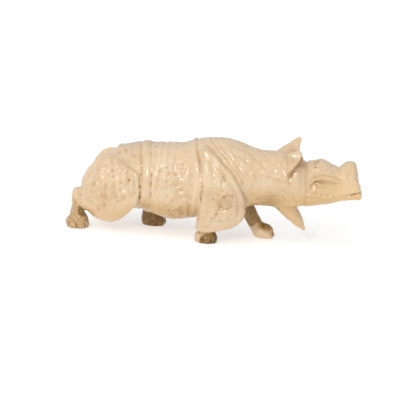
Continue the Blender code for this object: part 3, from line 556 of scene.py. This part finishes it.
SOCKET_OPENS, SOCKET_CLOSES = (44.0, 46.5), (56.5, 61.0)  # the x over which the socket sinks and rises
SOCKET_TOP, SOCKET_FOOT = (0.4, 1.3), (2.4, 4.6)  # and how far under the arch

# How the hand wavers: the length of one waver, and how far it goes on the near side and more on the far one.
HAND_CELL, NEAR_WAVER, FAR_WAVER = 3.5, 0.25, 1.0
FAR_SIDE, FAR_PLAINNESS = (-2, 6), 0.4  # the y over which near turns into far, and how much is left out there
DOT_WAVER, FACE_WAVER, FINE_FOLD = 0.15, 0.12, 0.7  # only folds finer than this waver
BREAK_CELL, DOT_CELL, CRACK_CELL, CROOKEDNESS = 1.3, 0.8, 0.9, 0.45
WRINKLE_DEPTH, WRINKLE_UNBROKEN = 0.6, 0.3  # the share of the lift that is always cut, and what is added
WRINKLE_BROWN, LEAST_BROWN, MORE_BROWN = 0.6, 0.2, 0.8


def nearness(xz, line, half_width, flatness=2):
    """exp(-(d / half width)^flatness), where d is a point's distance from a line, both seen from the side."""
    nearest = np.full(len(xz), np.inf)
    for start, end in zip(line[:-1], line[1:]):
        along = end - start
        share = np.clip((xz - start) @ along / (along @ along), 0, 1)
        nearest = np.minimum(nearest, np.linalg.norm(xz - start - share[:, None] * along, axis=1))
    return np.exp(-((nearest / half_width) ** flatness))


ASKEW = np.array(Matrix.Rotation(0.7, 3, (0.5, 0.7, 0.3)))  # turns the cubes, so that no rows of them show


def mottle(at, scale, seed):
    """Random values from -1 to 1 on the corners of cubes of this scale, blended between by 3t^2 - 2t^3."""
    table = np.random.default_rng(seed).uniform(-1, 1, (64, 64, 64))
    at = at @ ASKEW / scale
    cell = np.floor(at).astype(int)
    t = at - cell
    t = t * t * (3 - 2 * t)
    total = np.zeros(len(at))
    for corner in np.ndindex(2, 2, 2):
        weight = np.where(corner, t, 1 - t).prod(1)
        total += weight * table[tuple(((cell + corner) % 64).T)]
    return total


def eased(value, low, high):
    """0 below low, 1 above high, and 3t^2 - 2t^3 between them."""
    t = np.clip((value - low) / (high - low), 0, 1)
    return t * t * (3 - 2 * t)


hand = np.stack([mottle(points, HAND_CELL, 1), mottle(points, HAND_CELL, 2)], -1)
far_side = eased(points[:, 1], *FAR_SIDE)
seen = points[:, [0, 2]]  # the points as they are seen from the side
xz = seen + hand * (NEAR_WAVER + FAR_WAVER * far_side)[:, None]
plainer = 1 - FAR_PLAINNESS * far_side  # the side that is turned away is carved in the same way, only plainer
# Brown settles in some stretches of a cut and not in others.
broken = eased(mottle(points, BREAK_CELL, 3), -0.35, 0.35)
for line, half_width, height, brown, flatness in FOLDS:
    reach = nearness(xz if half_width < FINE_FOLD else seen, through(line, 3), half_width, flatness)
    lift += height * reach
    stain_and_shade += brown * reach * broken
dots = eased(mottle(points, DOT_CELL, 9), -0.2, 0.3)
for line, half_width, depth, brown in DOTTED:
    reach = nearness(seen + DOT_WAVER * hand, through(line, 3), half_width) * dots * plainer
    lift -= depth * reach
    stain_and_shade += brown * reach
for line, half_width, height, brown in WRINKLES:
    reach = nearness(xz, through(line, 3), half_width) * plainer
    lift += height * reach * (WRINKLE_DEPTH + WRINKLE_UNBROKEN * broken)
    stain_and_shade += WRINKLE_BROWN * brown * reach**2 * (LEAST_BROWN + MORE_BROWN * broken)
crooked = xz + CROOKEDNESS * np.stack([mottle(points, CRACK_CELL, 7), mottle(points, CRACK_CELL, 8)], -1)
for line, half_width, height, brown in TEARS:
    reach = nearness(crooked, np.asarray(line, float), half_width) * plainer**2
    lift += height * reach
    stain_and_shade += brown * reach
for line, half_width, height, brown in FACE:
    reach = nearness(seen + FACE_WAVER * hand, through(line, 3), half_width)
    lift += height * reach
    stain_and_shade += brown * reach
arch = through(ARCH, 4)
below = np.interp(points[:, 0], arch[:, 0], arch[:, 1]) - points[:, 2]
across = eased(points[:, 0], *SOCKET_OPENS) * (1 - eased(points[:, 0], *SOCKET_CLOSES))
lift -= SOCKET_DEPTH * across * eased(below, *SOCKET_TOP) * (1 - eased(below, *SOCKET_FOOT))

# The hide between the cuts: lumpy where it hangs loose, smooth and polished where it is stretched on a fold.
# The strongest lumps are in the middle of the shoulder plate and under the belly.
SMOOTH_BANDS = (
    (((-31.3, 10.0), (-30.9, 20.0), (-31.0, 26.6), (-31.5, 36.6), (-33.2, 41.0), (-34.8, 45.5)), 2.4),
    (((-50.4, 38.6), (-43.5, 36.6), (-38.6, 34.6), (-34.6, 32.4)), 2.2),
    (((-4.7, 44.0), (-3.3, 33.7), (-2.3, 27.9), (-2.7, 21.4), (-4.1, 14.4), (-4.8, 6.0)), 2.4),
    (((-5.4, 43.4), (0.0, 41.2), (6.8, 36.0), (12.0, 29.5), (15.0, 21.7), (15.0, 15.0), (10.0, 9.4),
      (0.0, 6.6)), 2.0),
    (((-7.4, 22.0), (-7.2, 29.8), (-7.6, 35.6), (-9.6, 41.9), (-11.0, 47.0)), 1.8),
    (((40.6, 22.0), (40.4, 32.0), (40.2, 41.0)), 2.8),
    (((-56.0, 9.0), (-48.0, 7.0), (-41.0, 11.0), (-35.6, 15.6)), 3.6),
    (((36.0, 36.0), (38.0, 44.0), (39.0, 50.0)), 5.0),
)
ROUGH_PATCHES = (
    (5.2, 23.0, 7.0, 1.1), (-13.6, 15.6, 5.0, 0.7), (-17.0, 33.0, 7.0, 0.4), (-47.0, 24.0, 10.0, 0.5),
    (27.6, 24.0, 4.0, 0.9), (-47.0, 33.0, 8.0, 0.3), (47.5, 40.0, 4.0, 1.2), (49.0, 30.0, 5.0, 0.5),
)  # x, z and size of each, and how much rougher it is
HIDE_ROUGHNESS, BAND_SMOOTHNESS, HEAD_SMOOTHNESS, TOP_SMOOTHNESS = 0.80, 0.9, 0.4, 0.5
FEET_TOP, HEAD_STARTS, TOP_SLOPE = (5, 9), (42, 46), (0.55, 0.95)  # the feet are smooth up to this height
LUMP_STRETCH = (1.0, 1.0, 0.6)  # the lumps are drawn out downwards
BIG_LUMP, BIG_LIFT, SMALL_LUMP, SMALL_LIFT, HIDE_SUNK = 2.6, 0.32, 1.25, 0.38, 0.22

smoothed = np.ones(count)
for line, half_width in SMOOTH_BANDS:
    smoothed *= 1 - BAND_SMOOTHNESS * nearness(xz, through(line, 3), half_width)
rough = HIDE_ROUGHNESS + sum(
    extra * np.exp(-(((points[:, 0] - x) / size) ** 2 + ((points[:, 2] - z) / size) ** 2))
    for x, z, size, extra in ROUGH_PATCHES
)
rough *= smoothed * plainer * eased(points[:, 2], *FEET_TOP)
rough *= 1 - HEAD_SMOOTHNESS * eased(points[:, 0], *HEAD_STARTS)
rough *= 1 - TOP_SMOOTHNESS * eased(abs(normals[:, 2]), *TOP_SLOPE)
stretched = points * LUMP_STRETCH
lumps = BIG_LIFT * mottle(stretched, BIG_LUMP, 4) + SMALL_LIFT * mottle(stretched, SMALL_LUMP, 5)
lift += rough * (lumps - HIDE_SUNK)

# The pits: brown flecks where the gouge tore the grain, most of them on the rump and the flank.
# Each is x, z, radius and depth. The flecks between them are too small to read one by one and fall at random.
PITS = (
    (-46.7, 38.9, 0.56, 0.5), (-43.0, 40.2, 0.49, 0.4), (-39.9, 38.5, 0.56, 0.4), (-55.9, 24.7, 0.70, 0.6),
    (-38.8, 28.2, 0.63, 0.6), (-47.2, 31.8, 0.42, 0.4), (-15.0, 37.9, 0.63, 0.5), (-15.1, 35.5, 0.56, 0.5),
    (-14.0, 43.3, 0.42, 0.6), (-21.8, 39.3, 0.42, 0.4), (-24.4, 35.0, 0.35, 0.4), (-16.7, 27.0, 0.49, 0.5),
    (-14.0, 25.4, 0.63, 0.5), (-20.8, 22.4, 0.49, 0.4), (-54.3, 16.2, 0.56, 0.3), (-48.0, 16.8, 0.49, 0.3),
    (-40.2, 19.8, 0.63, 0.3), (-41.4, 21.0, 0.49, 0.3), (43.1, 11.8, 0.35, 0.3), (-2.7, 6.4, 0.42, 0.4),
    (45.9, 42.1, 0.45, 1.1), (46.3, 40.8, 0.45, 1.1), (47.3, 42.9, 0.40, 0.9), (44.3, 42.0, 0.40, 0.35),
    (49.6, 39.7, 0.35, 0.35), (63.4, 39.4, 0.40, 0.3),
)
PIT_TALLNESS, PIT_BROWN = 1.2, 0.6
FLECK_CELL, FLECK_SHARE, FLECK_DEPTH, FLECK_BROWN = 0.9, (0.62, 0.85), 0.2, 0.15

for x, z, radius, depth in PITS:
    off = ((crooked[:, 0] - x) / radius) ** 2 + ((crooked[:, 1] - z) / (PIT_TALLNESS * radius)) ** 2
    reach = np.exp(-off) * plainer
    lift -= depth * reach
    stain_and_shade += PIT_BROWN * depth * reach
flecks = eased(mottle(points, FLECK_CELL, 6), *FLECK_SHARE) * rough
lift -= FLECK_DEPTH * flecks
stain_and_shade += FLECK_BROWN * flecks

# The toes: three blunt nails on each foot, parted by short knife slits that have gone almost black.
# The feet and the far legs are painted dark, partly from handling and partly as painted shadow under the
# belly and the plates, but for the heels, which are left pale where the light falls on them.
TOE_SLITS = (-26, 26, 70)
SLIT_TOP, SLIT_WIDTH, SLIT_DEPTH, SLIT_LEAN, SLIT_MIDDLE = 4.6, 0.5, 0.7, 3.0, 2.5
SLIT_STARTS, PAD_EDGE = (1.5, 3.0), (1.5, 3.0)  # how far from the foot's middle, and how far past the pad
DARKENING_EVEN, DARKENING_PATCHY, DARKENING_CELL, DARKENING_WAVER, SLIT_WAVER = 0.85, 0.3, 1.1, 0.03, 0.8
# Where the dark lies: x, distance from the middle and z, the side, its reach each way, depth, and soft edge.
DARK_AND_SHADED_PLACES = (
    ((-29.4, 11.5, 2.6), FAR, (12.0, 14.0, 8.0), 0.90, 0.12),
    ((16.0, 4.6, 17.6), FAR, (7.5, 7.0, 10.0), 0.64, 0.12),
    ((17.2, 8.8, 10.2), FAR, (5.4, 9.0, 4.4), 0.66, 0.16),
    ((26.8, 6.0, 9.2), FAR, (5.6, 9.0, 3.8), 0.90, 0.45),
    ((30.6, 7.0, 4.4), FAR, (1.8, 9.0, 4.0), 0.60, 0.40),
    ((-0.3, 12.4, 2.4), NEAR, (4.0, 12.0, 4.2), 0.88, 0.06),
    ((4.4, 12.4, 2.8), NEAR, (4.2, 12.0, 4.6), 1.15, 0.25),
    ((-60.9, 7.0, 9.0), NEAR, (3.2, 7.4, 3.6), 0.85, 0.20),
    ((-58.2, 8.4, 5.2), NEAR, (1.8, 6.4, 2.0), 0.60, 0.30),
    ((-63.4, 9.3, 3.0), NEAR, (9.0, 12.0, 9.0), 0.42, 0.45),
)

# Painted shade: the inside of the near ear's cup is painted brown where its shadow falls.
EAR_HOLLOW = ((39.9, 44.2), (38.9, 42.2), (37.6, 40.3), (36.2, 38.4), (35.0, 36.2))  # inside the near ear
HOLLOW_WIDTH, EAR_HOLLOW_SHADE = 1.5, 0.55
HOLLOW_OUTER, HOLLOW_INNER = (-12.3, -11.6), (-7.0, -6.0)  # the y between which it lies
inside = nearness(seen, through(EAR_HOLLOW, 3), HOLLOW_WIDTH, 4)
inside *= eased(points[:, 1], *HOLLOW_OUTER) * (1 - eased(points[:, 1], *HOLLOW_INNER))
stain_and_shade += EAR_HOLLOW_SHADE * inside

# The dark colour of handling and of painted shadow together, from 0 to 1.
patina_and_shade = np.zeros(count)  # the dark handling colour, from 0 to 1
for ((x, y, z), radii, outward), side in FEET:
    from_x, from_y = points[:, 0] - x, side * points[:, 1] - y
    distance = np.hypot(from_x, from_y)
    on_foot = 1 - eased(distance - radii[0], *PAD_EDGE)
    heading = np.degrees(np.arctan2(from_y, from_x)) - outward
    for slit in TOE_SLITS:
        lean = slit + SLIT_LEAN * (points[:, 2] - SLIT_MIDDLE)
        aside = np.radians((heading - lean + 180) % 360 - 180) * distance
        reach = np.exp(-((aside / SLIT_WIDTH) ** 2)) * on_foot * eased(distance, *SLIT_STARTS)
        reach *= 1 - eased(points[:, 2] + SLIT_WAVER * hand[:, 0], SLIT_TOP - 1.0, SLIT_TOP)
        lift -= SLIT_DEPTH * reach
        stain_and_shade += reach
uneven = DARKENING_EVEN + DARKENING_PATCHY * mottle(points, DARKENING_CELL, 10)
for (x, y, z), side, reaches, depth, soft in DARK_AND_SHADED_PLACES:
    away = np.linalg.norm((points - (x, side * y, z)) / reaches, axis=1) + DARKENING_WAVER * hand[:, 1]
    patina_and_shade = np.maximum(patina_and_shade, depth * uneven * (1 - eased(away, 1 - soft, 1 + soft)))

# Painted shade and brown in the hollows: the cuts and hollows are painted darker, standing in for the shade
# that falls in them as well as the brown that settles where a cloth doesn't reach.
# How hollow a place is comes from its distance below the same skin smoothed flat.
FLATTENINGS = 14
# How dark the painted shade and brown in hollow places get, and over what depth.
HOLLOW_SHADE_AND_BROWN, CUTS_DEPTH = 0.26, (0.02, 0.6)  # how brown hollow places get, and over what depth


def write_points(mesh, moved):
    """Puts points in shares into the mesh, and returns the new normals."""
    mesh.vertices.foreach_set("co", (moved * SHARE).ravel())
    mesh.update()
    turned = np.zeros(len(mesh.vertices) * 3)
    mesh.vertices.foreach_get("normal", turned)
    return turned.reshape(-1, 3)


carved = points + normals * lift[:, None]
carved_normals = write_points(rhinoceros.data, carved)
flattened = rhinoceros.modifiers.new("flattened", "SMOOTH")
flattened.factor = 1.0
flattened.iterations = FLATTENINGS
shown = rhinoceros.evaluated_get(bpy.context.evaluated_depsgraph_get()).to_mesh()
flat = np.zeros(count * 3)
shown.vertices.foreach_get("co", flat)
rhinoceros.modifiers.clear()
hollow = ((flat.reshape(-1, 3) / SHARE - carved) * carved_normals).sum(1)
stain_and_shade = np.clip(stain_and_shade + HOLLOW_SHADE_AND_BROWN * eased(hollow, *CUTS_DEPTH), 0, 1)

# The ivory's yellow: yellower on the head, which is its own tone, and painted shade in yellow-brown on the
# faces turned down, under the neck and low on the belly, deepening towards the bottom.
# Some patches, each x, z, size and depth, are painted browner and darker than the rest.
BROWNED = (
    (27.0, 21.0, 8.0, 0.26), (27.0, 22.8, 4.6, 0.16), (5.6, 22.0, 7.0, 0.16), (-2.6, 26.0, 4.0, 0.16),
    (-43.0, 35.6, 5.0, 0.05), (35.6, 43.8, 3.4, 0.23), (42.0, 12.0, 6.0, 0.10),
    (-4.6, 3.0, 2.6, 0.12), (-64.0, 12.6, 4.4, 0.12), (-20.0, 12.0, 9.0, 0.22), (-10.0, 13.0, 6.0, 0.22),
    (-30.8, 15.4, 3.4, 0.30), (-15.0, 26.0, 4.0, 0.12), (-53.0, 18.0, 6.0, 0.10), (49.0, 33.0, 5.0, 0.10),
    (48.0, 21.0, 8.0, 0.14), (40.4, 41.0, 2.5, 0.30),
)
BROWNED_FLATNESS, BROWNED_WAVER = 0.8, 0.4
at_x, at_z = carved[:, 0], carved[:, 2]
on_head = eased(at_x, 41.5, 47.0)
on_neck = eased(at_x, 14, 20) * (1 - on_head)
on_belly = eased(at_x, -33, -30) * (1 - eased(at_x, -9, -6))
under = eased(-carved_normals[:, 2], -0.2, 0.8)
# The head's own yellow, and the painted shade on faces turned down.
HEAD_AMBER, UNDER_SHADE_AMBER = 0.16, 0.55
# Yellow deepening towards the bottom; under the neck and low on the belly it is painted shade.
SUNK_AMBER = (  # where it lies, the height that it starts from, how far below that it is full, and how strong
    (on_head, 39, 8, 0.34), (on_head, 30, 5, 0.25), (1.0, 24, 14, 0.15), (on_neck, 32, 12, 0.75),
    (on_belly, 22, 12, 0.50),
)
# Where the yellow is taken off again, and how much of it: the throat fold, the top of the back, the feet and
# the low shoulder.
PALER_PLACES = (
    (eased(at_x, 34, 38) * (1 - eased(at_z, 17, 22)), 0.6),
    (eased(at_z, 43, 46) * (1 - on_head), 0.7),
    (eased(9 - at_z, 0, 3), 0.8),
    (eased(at_x, -7, -4) * (1 - eased(at_x, 12, 16)) * (1 - eased(at_z, 14, 20)), 0.7),
)
amber_and_shade = HEAD_AMBER * on_head + UNDER_SHADE_AMBER * under
for where, height, deep, depth in SUNK_AMBER:
    amber_and_shade += depth * where * eased(height - at_z, 0, deep)
for where, depth in PALER_PLACES:
    amber_and_shade *= 1 - depth * where
amber_and_shade = np.clip(amber_and_shade, 0, 1)
for x, z, size, depth in BROWNED:
    off = ((at_x - x) / size) ** 2 + ((at_z - z) / (BROWNED_FLATNESS * size)) ** 2
    patina_and_shade += depth * np.exp(-off * (1 + BROWNED_WAVER * hand[:, 0]))
patina_and_shade = np.clip(patina_and_shade, 0, 1)

# The marks and colours go onto the mesh; three of the channels hold painted shade as well as the ivory's own
# colour.
carving_and_shade = rhinoceros.data.attributes.new("carving_and_shade", "FLOAT_COLOR", "POINT")
carving_and_shade.data.foreach_set("color", np.stack([stain_and_shade, amber_and_shade, patina_and_shade, np.clip(rough, 0, 1.5)], -1).ravel())

# The soles: the four feet are ground flat in one plane on a stone.
# The figure then stands with its origin under the middle of its outline.
trimmed = bmesh.new()
trimmed.from_mesh(rhinoceros.data)
cut = bmesh.ops.bisect_plane(
    trimmed,
    geom=[*trimmed.verts, *trimmed.edges, *trimmed.faces],
    plane_co=(0, 0, -MOVED[2] * SHARE),
    plane_no=(0, 0, 1),
    clear_inner=True,
)
rim_edges = [part for part in cut["geom_cut"] if isinstance(part, bmesh.types.BMEdge)]
bmesh.ops.holes_fill(trimmed, edges=rim_edges)
bmesh.ops.triangulate(trimmed, faces=[face for face in trimmed.faces if len(face.verts) > 4])
bmesh.ops.translate(trimmed, vec=Vector(MOVED) * SHARE, verts=trimmed.verts)
trimmed.to_mesh(rhinoceros.data)
trimmed.free()
rhinoceros.data.shade_smooth()

# The ivory: creamy and slightly clear under a hand polish, yellower on the head, brown in the cuts, and
# darker with painted shade in the hollows, on the faces turned down and on the far legs and feet.
# Its grain is a faint long figure with tiny pores in it.
IVORY_CREAM = (0.620, 0.465, 0.305, 1)
IVORY_PALE = (0.690, 0.540, 0.375, 1)
IVORY_AMBER = (0.668, 0.437, 0.190, 1)
TAN_OF_CUTS_AND_SHADE = (0.480, 0.275, 0.110, 1)
BROWN_OF_CUTS_AND_SHADE = (0.230, 0.110, 0.038, 1)
TAN_OF_HANDLING_AND_SHADE = (0.400, 0.245, 0.092, 1)
DARK_OF_HANDLING_AND_SHADE = (0.120, 0.056, 0.004, 1)
GRAIN_STRETCH = (0.25, 1.0, 1.0)
# How fine each figure in the ivory is, in cells per metre.
GRAIN_FINENESS, CLOUD_FINENESS, VEIN_FINENESS, SPECK_FINENESS = 420.0, 70.0, 640.0, 480.0
SPECK_PATCHES, POLISH_FINENESS, TOOTH_FINENESS = 260.0, 900.0, 1500.0
VEIN_WIDTH, VEIN_STRENGTH, SPECK_STRENGTH = 0.035, 0.75, 0.65
CLOTH_POLISH, COAT_ON_IVORY, COAT_ON_DARK, COAT_ROUGHNESS = (0.18, 0.30), 0.5, 0.1, 0.10
GLOW_WEIGHT, GLOW_REACH, GLOW_TINT = 0.25, 0.0012, (1.0, 0.55, 0.30)  # how far light goes into the ivory
SHEEN_LEVEL, TOOTH_STRENGTH, TOOTH_HEIGHT = 0.35, 0.35, 0.0003


def node(tree, kind, **settings):
    """A shader node with these properties."""
    made = tree.nodes.new(kind)
    for name, value in settings.items():
        setattr(made, name, value)
    return made


def blended(tree, factor, first, second):
    """A colour that runs from first to second as factor runs from 0 to 1. Each is a colour or a socket."""
    mix = node(tree, "ShaderNodeMix", data_type="RGBA")
    tree.links.new(factor, mix.inputs["Factor"])
    for socket, value in ((mix.inputs["A"], first), (mix.inputs["B"], second)):
        if isinstance(value, tuple):
            socket.default_value = value
        else:
            tree.links.new(value, socket)
    return mix.outputs["Result"]


def ranged(tree, value, low, high, to_low, to_high):
    """A value carried from one range to another, and held inside it."""
    made = node(tree, "ShaderNodeMapRange")
    for name, number in (("From Min", low), ("From Max", high), ("To Min", to_low), ("To Max", to_high)):
        made.inputs[name].default_value = number
    tree.links.new(value, made.inputs["Value"])
    return made.outputs["Result"]


def noise(tree, place, scale, detail=3.0, roughness=0.55):
    """Noise that fills space, in cells per metre."""
    made = node(tree, "ShaderNodeTexNoise")
    made.inputs["Scale"].default_value = scale
    made.inputs["Detail"].default_value = detail
    made.inputs["Roughness"].default_value = roughness
    tree.links.new(place, made.inputs["Vector"])
    return made.outputs["Fac"]


def multiplied(tree, first, second):
    """The product of two values."""
    made = node(tree, "ShaderNodeMath", operation="MULTIPLY")
    tree.links.new(first, made.inputs[0])
    tree.links.new(second, made.inputs[1])
    return made.outputs["Value"]


ivory = bpy.data.materials.new("polished_ivory")
ivory.use_nodes = True
tree = ivory.node_tree
shader = tree.nodes["Principled BSDF"]
place = node(tree, "ShaderNodeTexCoord").outputs["Object"]
marks = node(tree, "ShaderNodeAttribute", attribute_name="carving_and_shade")
parted = node(tree, "ShaderNodeSeparateColor")
tree.links.new(marks.outputs["Color"], parted.inputs["Color"])
stained_and_shaded, ambered_and_shaded, handled_and_shaded = (parted.outputs[channel] for channel in ("Red", "Green", "Blue"))
grain_place = node(tree, "ShaderNodeMapping")
grain_place.inputs["Scale"].default_value = GRAIN_STRETCH
tree.links.new(place, grain_place.inputs["Vector"])
long_grain = noise(tree, grain_place.outputs["Vector"], GRAIN_FINENESS, 4.0)
cloud = noise(tree, place, CLOUD_FINENESS)
colour = blended(tree, ranged(tree, cloud, 0.35, 0.68, 0.0, 1.0), IVORY_CREAM, IVORY_PALE)
# Painted shade comes in through the yellow, the handling and the cut layers: under the body, on the far legs
# and feet and in the hollows.
LAYERS = (  # what carries each, where it starts and where it is full, how strong it is, and its colour
    (long_grain, 0.45, 0.75, 0.30, IVORY_AMBER),
    (ambered_and_shaded, 0.0, 1.0, 0.85, IVORY_AMBER),
    (handled_and_shaded, 0.0, 0.5, 1.0, TAN_OF_HANDLING_AND_SHADE),
    (stained_and_shaded, 0.05, 0.6, 0.80, TAN_OF_CUTS_AND_SHADE),
    (stained_and_shaded, 0.45, 1.0, 0.90, BROWN_OF_CUTS_AND_SHADE),
)
for carrier, starts_at, full_at, strength, tint in LAYERS:
    colour = blended(tree, ranged(tree, carrier, starts_at, full_at, 0.0, strength), colour, tint)
vein_place = noise(tree, place, VEIN_FINENESS, 2.0)
vein_off = node(tree, "ShaderNodeMath", operation="SUBTRACT")
vein_off.inputs[1].default_value = 0.5
tree.links.new(vein_place, vein_off.inputs[0])
vein_near = node(tree, "ShaderNodeMath", operation="ABSOLUTE")
tree.links.new(vein_off.outputs["Value"], vein_near.inputs[0])
vein = ranged(tree, vein_near.outputs["Value"], 0.0, VEIN_WIDTH, 1.0, 0.0)
vein = multiplied(tree, vein, ranged(tree, stained_and_shaded, 0.1, 0.5, 0.0, VEIN_STRENGTH))
colour = blended(tree, vein, colour, BROWN_OF_CUTS_AND_SHADE)
speck_cells = node(tree, "ShaderNodeTexVoronoi")
speck_cells.inputs["Scale"].default_value = SPECK_FINENESS
tree.links.new(place, speck_cells.inputs["Vector"])
speck = ranged(tree, speck_cells.outputs["Distance"], 0.10, 0.22, 1.0, 0.0)
speck = multiplied(tree, speck, ranged(tree, noise(tree, place, SPECK_PATCHES, 1.0), 0.52, 0.62, 0.0, 1.0))
speck = multiplied(tree, speck, ranged(tree, marks.outputs["Alpha"], 0.2, 1.0, 0.0, SPECK_STRENGTH))
colour = blended(tree, speck, colour, TAN_OF_CUTS_AND_SHADE)
# The darkest handling colour, which on the far legs and feet is also painted shadow.
colour = blended(tree, ranged(tree, handled_and_shaded, 0.4, 1.0, 0.0, 0.95), colour, DARK_OF_HANDLING_AND_SHADE)
tree.links.new(colour, shader.inputs["Base Color"])
polish = noise(tree, place, POLISH_FINENESS, 2.0)
tree.links.new(ranged(tree, polish, 0.3, 0.7, *CLOTH_POLISH), shader.inputs["Roughness"])
shader.inputs["Subsurface Weight"].default_value = GLOW_WEIGHT
shader.inputs["Subsurface Radius"].default_value = GLOW_TINT
shader.inputs["Subsurface Scale"].default_value = GLOW_REACH
shader.inputs["Specular IOR Level"].default_value = SHEEN_LEVEL
tree.links.new(ranged(tree, handled_and_shaded, 0.2, 0.7, COAT_ON_IVORY, COAT_ON_DARK), shader.inputs["Coat Weight"])
shader.inputs["Coat Roughness"].default_value = COAT_ROUGHNESS
bump = node(tree, "ShaderNodeBump")
bump.inputs["Strength"].default_value = TOOTH_STRENGTH
bump.inputs["Distance"].default_value = TOOTH_HEIGHT
tree.links.new(noise(tree, place, TOOTH_FINENESS, 4.0), bump.inputs["Height"])
tree.links.new(bump.outputs["Normal"], shader.inputs["Normal"])
rhinoceros.data.materials.append(ivory)

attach(rhinoceros, "root")
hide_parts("rhinoceros")

# The floor: a plain white sheet of paper that the figure stands on, wide enough to fill the picture.
# It glows a little, so that it stays as white as the paper of a light table.
FLOOR_REACH = 3.0
PAPER_SHADE, PAPER_PALE = (0.54, 0.54, 0.54, 1), (0.56, 0.56, 0.56, 1)
PAPER_ROUGHNESS, PAPER_GLOW, PAPER_WHITE = 0.9, 0.53, (1.0, 1.0, 1.0, 1)
FIBRES = 30.0  # cells per metre
floor_mesh = bpy.data.meshes.new("floor")
floor_mesh.from_pydata(
    [(-FLOOR_REACH, -FLOOR_REACH, 0), (FLOOR_REACH, -FLOOR_REACH, 0), (FLOOR_REACH, FLOOR_REACH, 0),
     (-FLOOR_REACH, FLOOR_REACH, 0)], [], [(0, 1, 2, 3)],
)
floor = bpy.data.objects.new("floor", floor_mesh)
bpy.context.scene.collection.objects.link(floor)
paper = bpy.data.materials.new("white_paper")
paper.use_nodes = True
paper_shader = paper.node_tree.nodes["Principled BSDF"]
paper_place = node(paper.node_tree, "ShaderNodeTexCoord").outputs["Object"]
fibre = ranged(paper.node_tree, noise(paper.node_tree, paper_place, FIBRES), 0.3, 0.7, 0.0, 1.0)
paper_colour = blended(paper.node_tree, fibre, PAPER_SHADE, PAPER_PALE)
paper.node_tree.links.new(paper_colour, paper_shader.inputs["Base Color"])
paper_shader.inputs["Roughness"].default_value = PAPER_ROUGHNESS
paper_shader.inputs["Emission Color"].default_value = PAPER_WHITE
paper_shader.inputs["Emission Strength"].default_value = PAPER_GLOW
floor_mesh.materials.append(paper)

# The light: a white room, broad soft daylight from above and in front, and one window that glints.
# The daylight is even over the whole floor, so the floor stays white to its edge.
WORLD_STRENGTH = 0.62
DAYLIGHT_FROM, DAYLIGHT_STRENGTH, DAYLIGHT_SPREAD = (-0.20, -0.50, 0.70), 1.06, 0.95
WINDOW_AT, WINDOW_SIZE, WINDOW_WATTS = (-0.14, -0.60, 0.33), 0.115, 1.28
LIT_AT = Vector((0, 0, 0.02))  # what both of them point at
LAMPS = (("daylight", DAYLIGHT_FROM, False), ("window", WINDOW_AT, True))  # and whether the polish mirrors it
world = bpy.data.worlds.new("white_room")
world.use_nodes = True
world.node_tree.nodes["Background"].inputs["Color"].default_value = (1.0, 1.0, 1.0, 1)
world.node_tree.nodes["Background"].inputs["Strength"].default_value = WORLD_STRENGTH
bpy.context.scene.world = world
daylight = bpy.data.lights.new("daylight", "SUN")
daylight.energy = DAYLIGHT_STRENGTH
daylight.angle = DAYLIGHT_SPREAD
window = bpy.data.lights.new("window", "AREA")
window.shape = "SQUARE"
window.size = WINDOW_SIZE
window.energy = WINDOW_WATTS
for name, at, shows in LAMPS:
    lit = bpy.data.objects.new(name, bpy.data.lights[name])
    lit.location = at
    lit.visible_glossy = shows
    lit.rotation_euler = (LIT_AT - Vector(at)).to_track_quat("-Z", "Y").to_euler()
    bpy.context.scene.collection.objects.link(lit)

# The camera: 12 degrees above the table and 4 towards the head, some 630 mm away.
# It is turned so that the ground line falls to the right.
YAW, RISE, ROLL = math.radians(4), math.radians(12), math.radians(5)
LOOKED_AT = Vector((-0.69, 0.0, 23.8)) * SHARE
DISTANCE = 620 * SHARE
FOCAL_PIXELS, PICTURE, PRINCIPAL = 1302.0, 420.0, (214.5, 187.0)
SENSOR, CLIP_END = 36.0, 20.0

back = Vector((math.sin(YAW) * math.cos(RISE), -math.cos(YAW) * math.cos(RISE), math.sin(RISE)))
right = (-back).cross(Vector((0, 0, 1))).normalized()
up = right.cross(-back)
right, up = right * math.cos(ROLL) + up * math.sin(ROLL), up * math.cos(ROLL) - right * math.sin(ROLL)
camera = bpy.data.cameras.new("camera")
camera.sensor_width = SENSOR
camera.lens = SENSOR * FOCAL_PIXELS / PICTURE
camera.shift_x = (PICTURE / 2 - PRINCIPAL[0]) / PICTURE
camera.shift_y = (PRINCIPAL[1] - PICTURE / 2) / PICTURE
camera.clip_end = CLIP_END
seen_from = bpy.data.objects.new("camera", camera)
turn = Matrix((right, up, back)).transposed().to_4x4()
seen_from.matrix_world = Matrix.Translation(LOOKED_AT + back * DISTANCE) @ turn
bpy.context.scene.collection.objects.link(seen_from)
bpy.context.scene.camera = seen_from
bpy.context.scene.view_settings.view_transform = "Standard"

bpy.context.view_layer.update()
